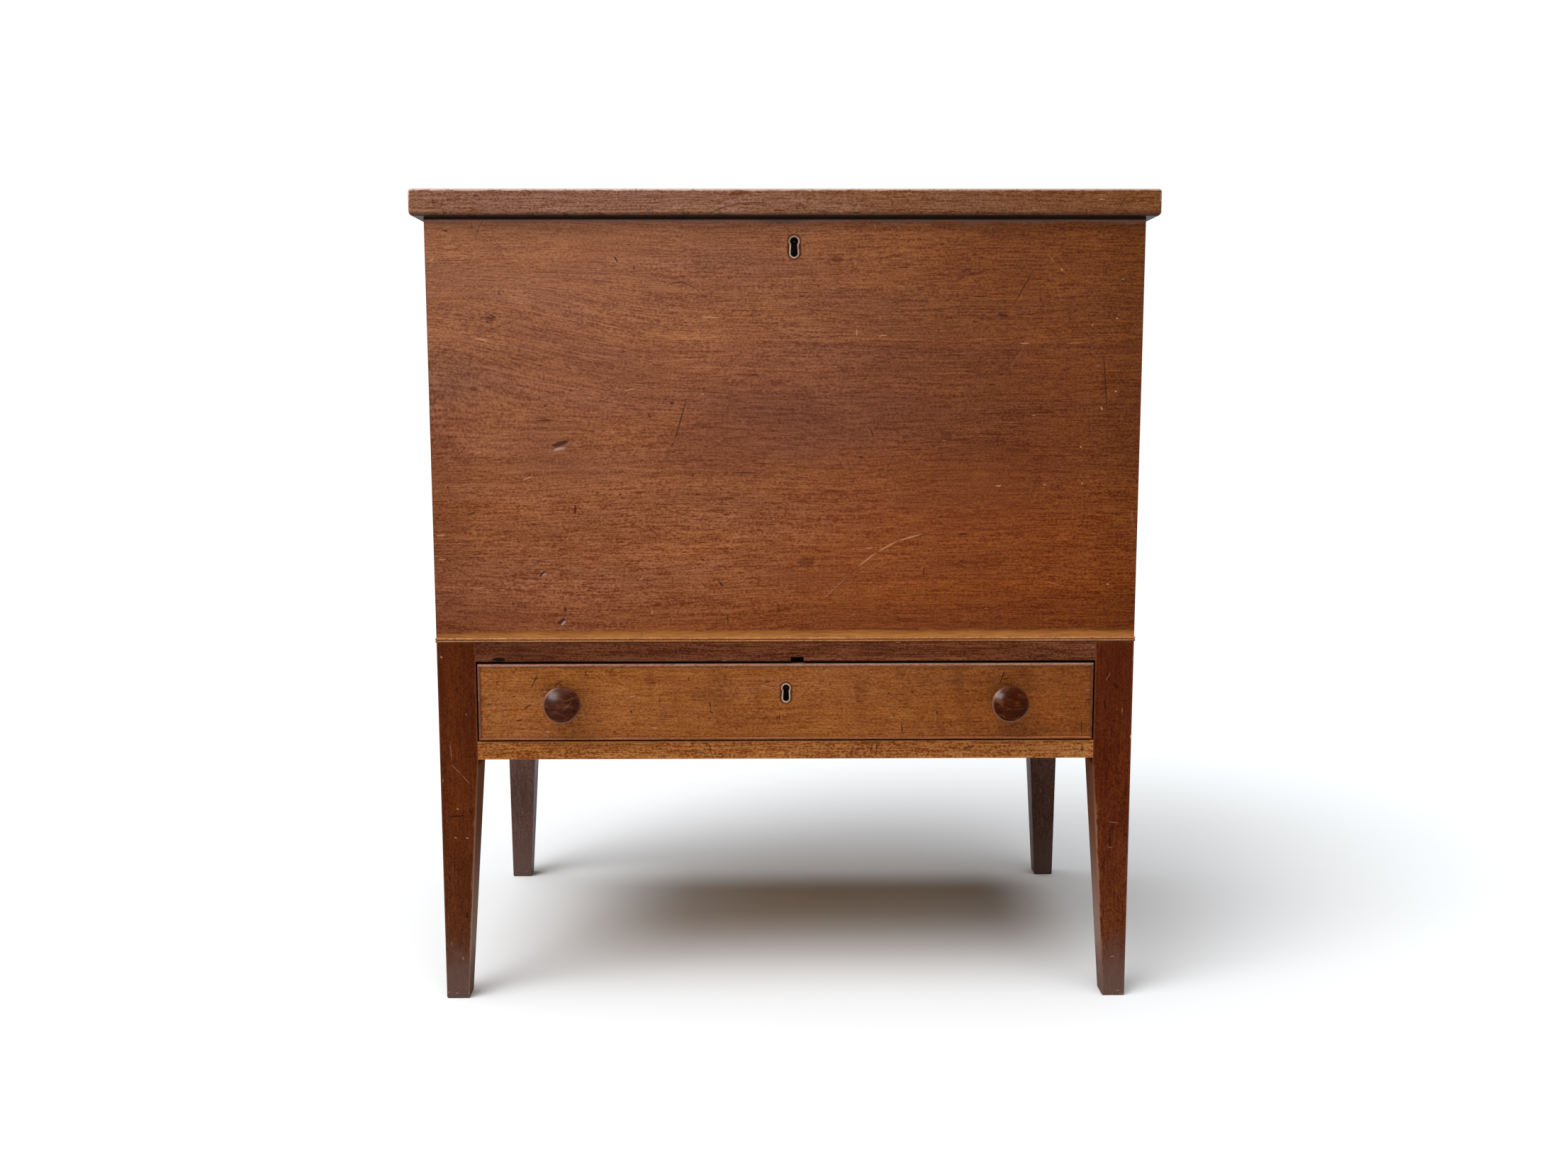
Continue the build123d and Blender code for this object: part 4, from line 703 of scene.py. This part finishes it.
# painted shade: black along the lower edge, in the gap over the drawer, and in a chip under it
w.tint(w.step(z, lower_edge + 0.0006, lower_edge + 0.0014, 0.9, 0.0), BLACK)
w.tint(w.marks(strokes_at((-3360, 4052, -3225, 4052, 30))), BLACK, 0.95)
w.strokes(strokes_at(
    (-3280, 4100, -2560, 4085, 12), (-3200, 4150, -2620, 4140, 10), (-3280, 4185, -2900, 4175, 9),
    (370, 4155, 384, 4155, 13), (1688, 4124, 1698, 4124, 12),
), srgb(46, 22, 12), 0.4, 0.55)
lay("upper_rail", w.finish())

w = Wood("lower_rail", "x", srgb(143, 87, 44), seed=12.0, pith=(0.03, 0.06), ring=48, sway=0.05,
         rings=0.35, lines=1.4, flecks=1.7, clouds=0.4)
# paler to the left: painted light
w.change(w.fall(w.split(w.p)[0], -0.35, 0.20), (1.08, 1.06, 1.04, 1))
w.age(1.2)
w.strokes(strokes_at(
    (-897, 3077, -857, 2909, 9), (-969, 3072, -897, 3057, 12), (-930, 3097, -921, 3015, 9),
    (-1109, 3070, -1065, 3038, 8), (-974, 2966, -934, 2934, 9), (-516, 3076, -506, 3026, 8),
    (-607, 3088, -600, 3046, 8), (-1475, 3010, -1439, 2995, 8), (-1223, 2960, -1138, 2967, 7),
    (-210, 3075, -193, 3038, 7), (-2076, 3076, -2072, 3066, 9), (-2823, 3034, -2751, 3043, 6),
    (-777, 2939, -741, 2948, 9), (975, 2953, 1003, 3083, 9), (1003, 3071, 1061, 3078, 8),
    (1046, 3076, 1052, 2960, 9), (1896, 3098, 1904, 3063, 9), (2826, 3028, 2850, 3041, 11),
    (2050, 2989, 2194, 3030, 14), (3428, 3051, 3435, 2940, 8), (1469, 3045, 1477, 3015, 7),
    (214, 2945, 323, 2962, 6), (105, 3037, 115, 3025, 8), (2570, 2992, 2585, 2987, 8),
), srgb(44, 20, 8), 0.45, 0.7)
w.wear(0.0012, 0.5, srgb(160, 104, 60))
lay("lower_rail", w.finish())

for name, grain, seed in (
    ("side_apron_left", "y", 13.0), ("side_apron_right", "y", 14.0), ("back_apron", "x", 15.0),
):
    w = Wood(name, grain, RAIL, seed=seed, pith=(0.03, 0.06), ring=48, rings=0.4, lines=0.8)
    w.age(1.0)
    w.scratches(0.4)
    w.wear(0.0014, 0.5, srgb(120, 72, 46))
    lay(name, w.finish())

# Waist bead: two fine reeds, with painted shade in the quirk between them and a painted shadow
# line along the lower edge
low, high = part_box("waist_bead_front")[0][2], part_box("waist_bead_front")[1][2]
for name, grain in (
    ("waist_bead_front", "x"), ("waist_bead_left", "y"), ("waist_bead_right", "y"),
):
    w = Wood(name, grain, BEAD, seed=16.0 + len(name), ring=90, rings=0.25, lines=0.6)
    z = w.split(w.p)[2]
    w.tint(w.step(w.off(z, (low + high) / 2), 0.0003, 0.0009, 0.8, 0.0), srgb(84, 42, 16))
    w.tint(w.step(z, low + 0.0004, low + 0.0012, 0.9, 0.0), srgb(50, 18, 8))
    w.age(0.8)
    lay(name, w.finish(rough=0.38, spec=0.12))

# Cockbeads: one wood painted lit and shaded, pale above with a painted highlight, browner on the
# other three sides and darkest on the right
for name, grain, base in (
    ("cockbead_top", "x", srgb(150, 106, 88)), ("cockbead_bottom", "x", srgb(140, 84, 50)),
    ("cockbead_left", "z", srgb(128, 76, 52)), ("cockbead_right", "z", srgb(104, 58, 38)),
):
    w = Wood(name, grain, base, seed=16.0 + len(name), ring=90, rings=0.25, lines=0.6, flecks=0.9)
    w.age(0.6)
    lay(name, w.finish(rough=0.4, spec=0.08))

# Drawer
w = Wood("drawer_front", "x", HONEY, seed=20.0, pith=(0.10, 0.03), ring=40, sway=0.05, rings=0.2,
         lines=0.75, flecks=1.1, clouds=0.6)
x, _, z = w.split(w.p)
w.change(w.step(x, 0.0, 0.36), (0.70, 0.60, 0.45, 1))
bands = w.line_noise(w.add(x, w.mul(z, 0.25)), 26.0, 2.0, 0.5)
w.change(w.step(bands, 0.50, 0.68), (0.88, 0.84, 0.80, 1), 0.6)
w.change(w.step(bands, 0.48, 0.34), (1.08, 1.09, 1.08, 1), 0.5)
w.age(1.1)
w.scratches(0.4)
dark_marks = strokes_at(
    (-2858, 3865, -2898, 3780, 11), (-2898, 3780, -2928, 3719, 9), (-2897, 3805, -2866, 3817, 8),
    (-2659, 3770, -2580, 3787, 8), (-2198, 3717, -2133, 3754, 7), (-2344, 3608, -2278, 3649, 7),
    (-2932, 3529, -3022, 3471, 11), (-1790, 3438, -1783, 3440, 16), (-2302, 3929, -2298, 3864, 8),
    (-2298, 3869, -2274, 3864, 10), (-1582, 3777, -1495, 3774, 9), (-1199, 3732, -1276, 3629, 7),
    (-879, 3567, -865, 3457, 9), (-882, 3440, -841, 3420, 9), (-77, 3399, -72, 3330, 10),
    (-105, 3382, -101, 3345, 8), (-582, 3233, -568, 3238, 10), (-558, 3309, -549, 3248, 7),
    (-1121, 3836, -1117, 3800, 8), (-3314, 3798, -3324, 3759, 9), (-3141, 3623, -3122, 3618, 9),
    (-3393, 3310, -3249, 3300, 6), (-3104, 3334, -3044, 3349, 10), (-1453, 3679, -1455, 3496, 7),
    (-3139, 3902, -3115, 3914, 8), (-256, 3773, -184, 3790, 8), (-2002, 3198, -1978, 3203, 8),
    (2520, 3904, 2483, 3814, 13), (2483, 3814, 2465, 3758, 10), (2483, 3812, 2570, 3819, 8),
    (1742, 3432, 1743, 3408, 14), (1334, 3296, 1343, 3164, 11), (1184, 3649, 1192, 3649, 13),
    (3417, 3315, 3421, 3147, 8), (2220, 3392, 2255, 3313, 7), (1451, 3683, 1456, 3644, 8),
    (501, 3771, 506, 3739, 8), (544, 3195, 587, 3176, 7), (815, 3550, 856, 3548, 10),
    (1938, 3216, 1974, 3226, 7), (2650, 3924, 2660, 3887, 7), (1546, 3773, 1690, 3780, 6),
    (250, 3454, 322, 3451, 6),
)
w.strokes(dark_marks, srgb(44, 18, 6), 0.45, 0.78)
stains = strokes_at(
    (-1061, 3617, -581, 3603, 110), (-1422, 3459, -1419, 3324, 60), (-1992, 3899, -1981, 3814, 60),
    (-843, 3872, -652, 3774, 90), (-1561, 3886, -1551, 3716, 70), (2965, 3213, 3122, 3222, 50),
    (850, 3770, 855, 3599, 80), (1982, 3889, 1995, 3669, 70), (1305, 3927, 1317, 3842, 70),
    (2104, 3412, 2111, 3289, 50), (1793, 3241, 1806, 3204, 60), (2698, 3887, 2844, 3838, 80),
)
w.tint(w.marks(stains), srgb(84, 40, 14), 0.25)
w.strokes(strokes_at((90, 3610, 236, 3680, 8)), srgb(176, 122, 74), 0.3, 0.4)
# painted shadow round the knobs and the keyhole plate, and a dark line along the cockbeads
for name in ("knob_left", "knob_right"):
    lo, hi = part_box(name)
    middle = ((lo[0] + hi[0]) / 2, (lo[2] + hi[2]) / 2)
    w.tint(w.spot(middle, 0.030, 0.030), srgb(60, 28, 10), 0.45)
# a dark ring round the keyhole plate: painted shadow
w.tint(w.halo("drawer_escutcheon", PLATE_SHADOW), srgb(58, 27, 12), 0.95)
field = (
    (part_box("cockbead_left")[1][0], -1.0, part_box("cockbead_bottom")[1][2]),
    (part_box("cockbead_right")[0][0], 1.0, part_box("cockbead_top")[0][2]),
)
w.tint(w.fall(w.edge(w.p, field), 0.0005, 0.0015), srgb(66, 18, 5), 0.9)
lay("drawer_front", w.finish())

# Poplar inside the drawer, the bin and the stand
for name, grain, seed in (
    ("drawer_side_left", "y", 21.0), ("drawer_side_right", "y", 22.0), ("drawer_back", "x", 23.0),
    ("drawer_bottom", "x", 24.0), ("case_bottom", "x", 25.0), ("bin_divider", "y", 26.0),
    ("drawer_runner_left", "y", 27.0), ("drawer_runner_right", "y", 28.0),
    ("drawer_guide_left", "y", 29.0), ("drawer_guide_right", "y", 30.0),
    ("drawer_kicker_left", "y", 31.0), ("drawer_kicker_right", "y", 32.0),
    ("drawer_stops", "x", 33.0), ("joining_blocks", "x", 34.0),
):
    w = Wood(name, grain, POPLAR, seed=seed, pith=(0.04, 0.09), ring=42, rings=0.4, lines=0.8,
             flecks=0.9)
    w.age(0.8, (0.06, 0.035, 0.015, 1))
    w.wear(0.0012, 0.4, srgb(110, 78, 46))
    lay(name, w.finish(rough=0.64, spec=0.2, bump=0.00035))

for name, seed in (("lid_cleat_left", 35.0), ("lid_cleat_right", 36.0)):
    w = Wood(name, "y", CHERRY, seed=seed, pith=(0.02, 0.05), ring=50)
    w.age(0.8)
    w.wear(0.0014, 0.5, srgb(130, 76, 44))
    lay(name, w.finish(rough=0.52))

# Knobs: turned, dark and polished, with a painted highlight on the rim; the right one is glossier
for name, seed, base, rough in (
    ("knob_left", 40.0, srgb(72, 34, 19), 0.34), ("knob_right", 41.0, srgb(62, 22, 4), 0.24),
):
    w = Wood(name, "x", base, seed=seed, pith=(0.03, 0.02), ring=120, rings=0.6, lines=0.5,
             flecks=0.5, clouds=0.9)
    lo, hi = w.box
    cx, cz = (lo[0] + hi[0]) / 2, (lo[2] + hi[2]) / 2
    out = w.vec("MULTIPLY", w.vec("SUBTRACT", w.p, (cx, 0, cz)), (1, 0, 1))
    r = w.vec("LENGTH", out)
    dx, _, dz = w.split(out)
    turned = w.line_noise(r, 700.0, 1.0)
    w.tint(w.step(turned, 0.5, 0.7), srgb(38, 18, 10), 0.20)
    swirl = w.noise(w.map(w.p, scale=(70, 40, 210), loc=(seed, 0, 0)), 1.0, 3.0, 0.6, 0.8)
    w.tint(w.step(swirl, 0.52, 0.68), srgb(118, 70, 42), 0.45)
    w.tint(w.step(swirl, 0.46, 0.32), srgb(30, 13, 6), 0.6)
    w.height = w.math("MULTIPLY_ADD", turned, 0.6, w.height)
    # a painted highlight along the rim, strongest at the lower left
    low_left = w.step(w.add(dx, dz), -0.004, 0.022, 1.0, 0.15)
    w.tint(w.mul(w.step(r, 0.0186, 0.0200), low_left), srgb(146, 100, 82), 0.6)
    if name == "knob_left":
        scratch = ((cx + 0.001, cz - 0.006), (cx + 0.014, cz + 0.007), 0.0006)
        w.tint(w.marks([scratch]), srgb(150, 112, 92), 0.3)
    lay(name, w.finish(rough=rough, spec=0.02, bump=0.00006))


# ---------------------------------------------------------------- metal


def metal(name, tone, light, deep, rough, rust=None):
    """Old metal: cloudy tarnish and fine darker scratches."""
    w = Tree(name)
    p = w.coords()
    clouds = w.noise(p, 120.0, 5.0, 0.65)
    tone = w.mix(w.step(clouds, 0.35, 0.68), tone, light)
    lines = w.noise(w.map(p, scale=(300, 2400, 1500)), 1.0, 2.0)
    tone = w.mix(w.step(lines, 0.62, 0.74, 0.0, 0.5), tone, deep)
    metallic = 1.0
    if rust:
        patch = w.step(w.noise(p, 55.0, 6.0, 0.7), 0.52, 0.66)
        tone = w.mix(w.mul(patch, 0.8), tone, rust)
        metallic = w.fmix(patch, 1.0, 0.1)
    w.put(w.bsdf.inputs["Metallic"], metallic)
    w.put(w.bsdf.inputs["Base Color"], tone)
    w.put(w.bsdf.inputs["Roughness"], w.math("MULTIPLY_ADD", clouds, 0.3, rough))
    relief = w.math("MULTIPLY_ADD", lines, 0.4, clouds)
    w.put(w.bsdf.inputs["Normal"], w.bump(relief, 0.00012))
    return w.mat


brass = metal("old_brass", srgb(112, 86, 52), srgb(148, 118, 76), srgb(66, 48, 28), 0.36)
pale_brass = metal("rubbed_brass", srgb(140, 112, 94), srgb(184, 152, 132), srgb(84, 62, 48), 0.3)
iron = metal("lock_iron", srgb(26, 23, 21), srgb(48, 43, 39), srgb(16, 14, 13), 0.42,
             rust=srgb(44, 25, 16))
steel = metal("screw_steel", srgb(78, 72, 66), srgb(118, 110, 102), srgb(46, 42, 38), 0.34,
              rust=srgb(80, 48, 32))
for name in nodes:
    if name.startswith("hinge_") and "screws" not in name:
        lay(name, brass)
    elif name.endswith("_escutcheon"):
        lay(name, pale_brass)
    elif name.endswith("_screws"):
        lay(name, steel)
    elif name in ("lid_lock", "drawer_lock", "lid_lock_bolt", "drawer_lock_bolt", "lid_hasp"):
        lay(name, iron)


# ---------------------------------------------------------------- room, light and camera

FLOOR_REACH = 30.0
FLOOR_COLOR = (0.925, 0.95, 0.97, 1)
# The sky lights the chest only a little, but is white where it is looked at or mirrored
SKY_FILL = 0.06
# name, strength, spread in degrees, where from
SUNS = (
    ("overhead", 2.9, 64, (-0.20, -0.25, 1.0)),
    ("key", 1.08, 38, (-2.2, -2.0, 2.9)),
)
WINDOW_SIZE = (2.4, 1.6)
WINDOW_POWER = 1400
WINDOW_PLACE = (-2.3, -1.9, 2.0)
# The photo's camera, as fitted to its edges: pixels, metres and radians
PHOTO_WIDTH = 2212
FOCAL_LENGTH = 2086.5
CAMERA_X, CAMERA_DISTANCE, CAMERA_HEIGHT = -0.0173, 1.6754, 0.696
YAW, DOWN, ROLL = -0.009, 0.124, -0.001
SENSOR = 36.0


def place(name, data):
    """A new object in the scene."""
    obj = bpy.data.objects.new(name, data)
    bpy.context.scene.collection.objects.link(obj)
    return obj


def aim(lamp, origin, target):
    """Put a lamp at origin and turn it to target."""
    back = Vector(origin) - Vector(target)
    turn = back.to_track_quat("Z", "Y").to_matrix().to_4x4()
    lamp.matrix_world = Matrix.Translation(origin) @ turn


front_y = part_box("case_front")[0][1]
floor_mesh = bpy.data.meshes.new("floor")
corners = [(-1, -1), (1, -1), (1, 1), (-1, 1)]
corners = [(a * FLOOR_REACH, b * FLOOR_REACH, 0) for a, b in corners]
floor_mesh.from_pydata(corners, [], [(0, 1, 2, 3)])
floor = place("floor", floor_mesh)
w = Tree("floor")
w.bsdf.inputs["Base Color"].default_value = FLOOR_COLOR
w.bsdf.inputs["Roughness"].default_value = 0.9
w.bsdf.inputs["Specular IOR Level"].default_value = 0.0
floor_mesh.materials.append(w.mat)

world = bpy.data.worlds.new("studio")
world.use_nodes = True
bpy.context.scene.world = world
tree = world.node_tree
tree.nodes.clear()
sky = tree.nodes.new("ShaderNodeBackground")
out = tree.nodes.new("ShaderNodeOutputWorld")
path = tree.nodes.new("ShaderNodeLightPath")
seen = path.outputs["Is Camera Ray"]
for other in ("Is Glossy Ray", "Is Transmission Ray"):
    either = tree.nodes.new("ShaderNodeMath")
    either.operation = "MAXIMUM"
    tree.links.new(seen, either.inputs[0])
    tree.links.new(path.outputs[other], either.inputs[1])
    seen = either.outputs[0]
level = tree.nodes.new("ShaderNodeMapRange")
tree.links.new(seen, level.inputs["Value"])
level.inputs["To Min"].default_value = SKY_FILL
level.inputs["To Max"].default_value = 1.0
tree.links.new(level.outputs[0], sky.inputs["Strength"])
sky.inputs["Color"].default_value = (1, 1, 1, 1)
tree.links.new(sky.outputs[0], out.inputs[0])

for name, energy, spread, origin in SUNS:
    data = bpy.data.lights.new(name, "SUN")
    data.energy = energy
    data.angle = math.radians(spread)
    aim(place(name, data), origin, (0, 0, 0))

# A window to the left, seen only in the polish of the knobs
window_data = bpy.data.lights.new("window", "AREA")
window_data.shape = "RECTANGLE"
window_data.size, window_data.size_y = WINDOW_SIZE
window_data.energy = WINDOW_POWER
window = place("window", window_data)
aim(window, WINDOW_PLACE, (0, front_y, 0.36))
window.visible_diffuse = False
polished = bpy.data.collections.new("polished")
polished.objects.link(nodes["knob_left"])
polished.objects.link(nodes["knob_right"])
window.light_linking.receiver_collection = polished

cam_data = bpy.data.cameras.new("camera")
cam_data.sensor_fit = "HORIZONTAL"
cam_data.sensor_width = SENSOR
cam_data.lens = FOCAL_LENGTH / PHOTO_WIDTH * SENSOR
camera = place("camera", cam_data)
camera.matrix_world = (
    Matrix.Translation((CAMERA_X, front_y - CAMERA_DISTANCE, CAMERA_HEIGHT))
    @ Matrix.Rotation(YAW, 4, "Z")
    @ Matrix.Rotation(math.pi / 2 - DOWN, 4, "X")
    @ Matrix.Rotation(ROLL, 4, "Z")
)
bpy.context.scene.camera = camera

settings = bpy.context.scene.view_settings
settings.view_transform = "Standard"
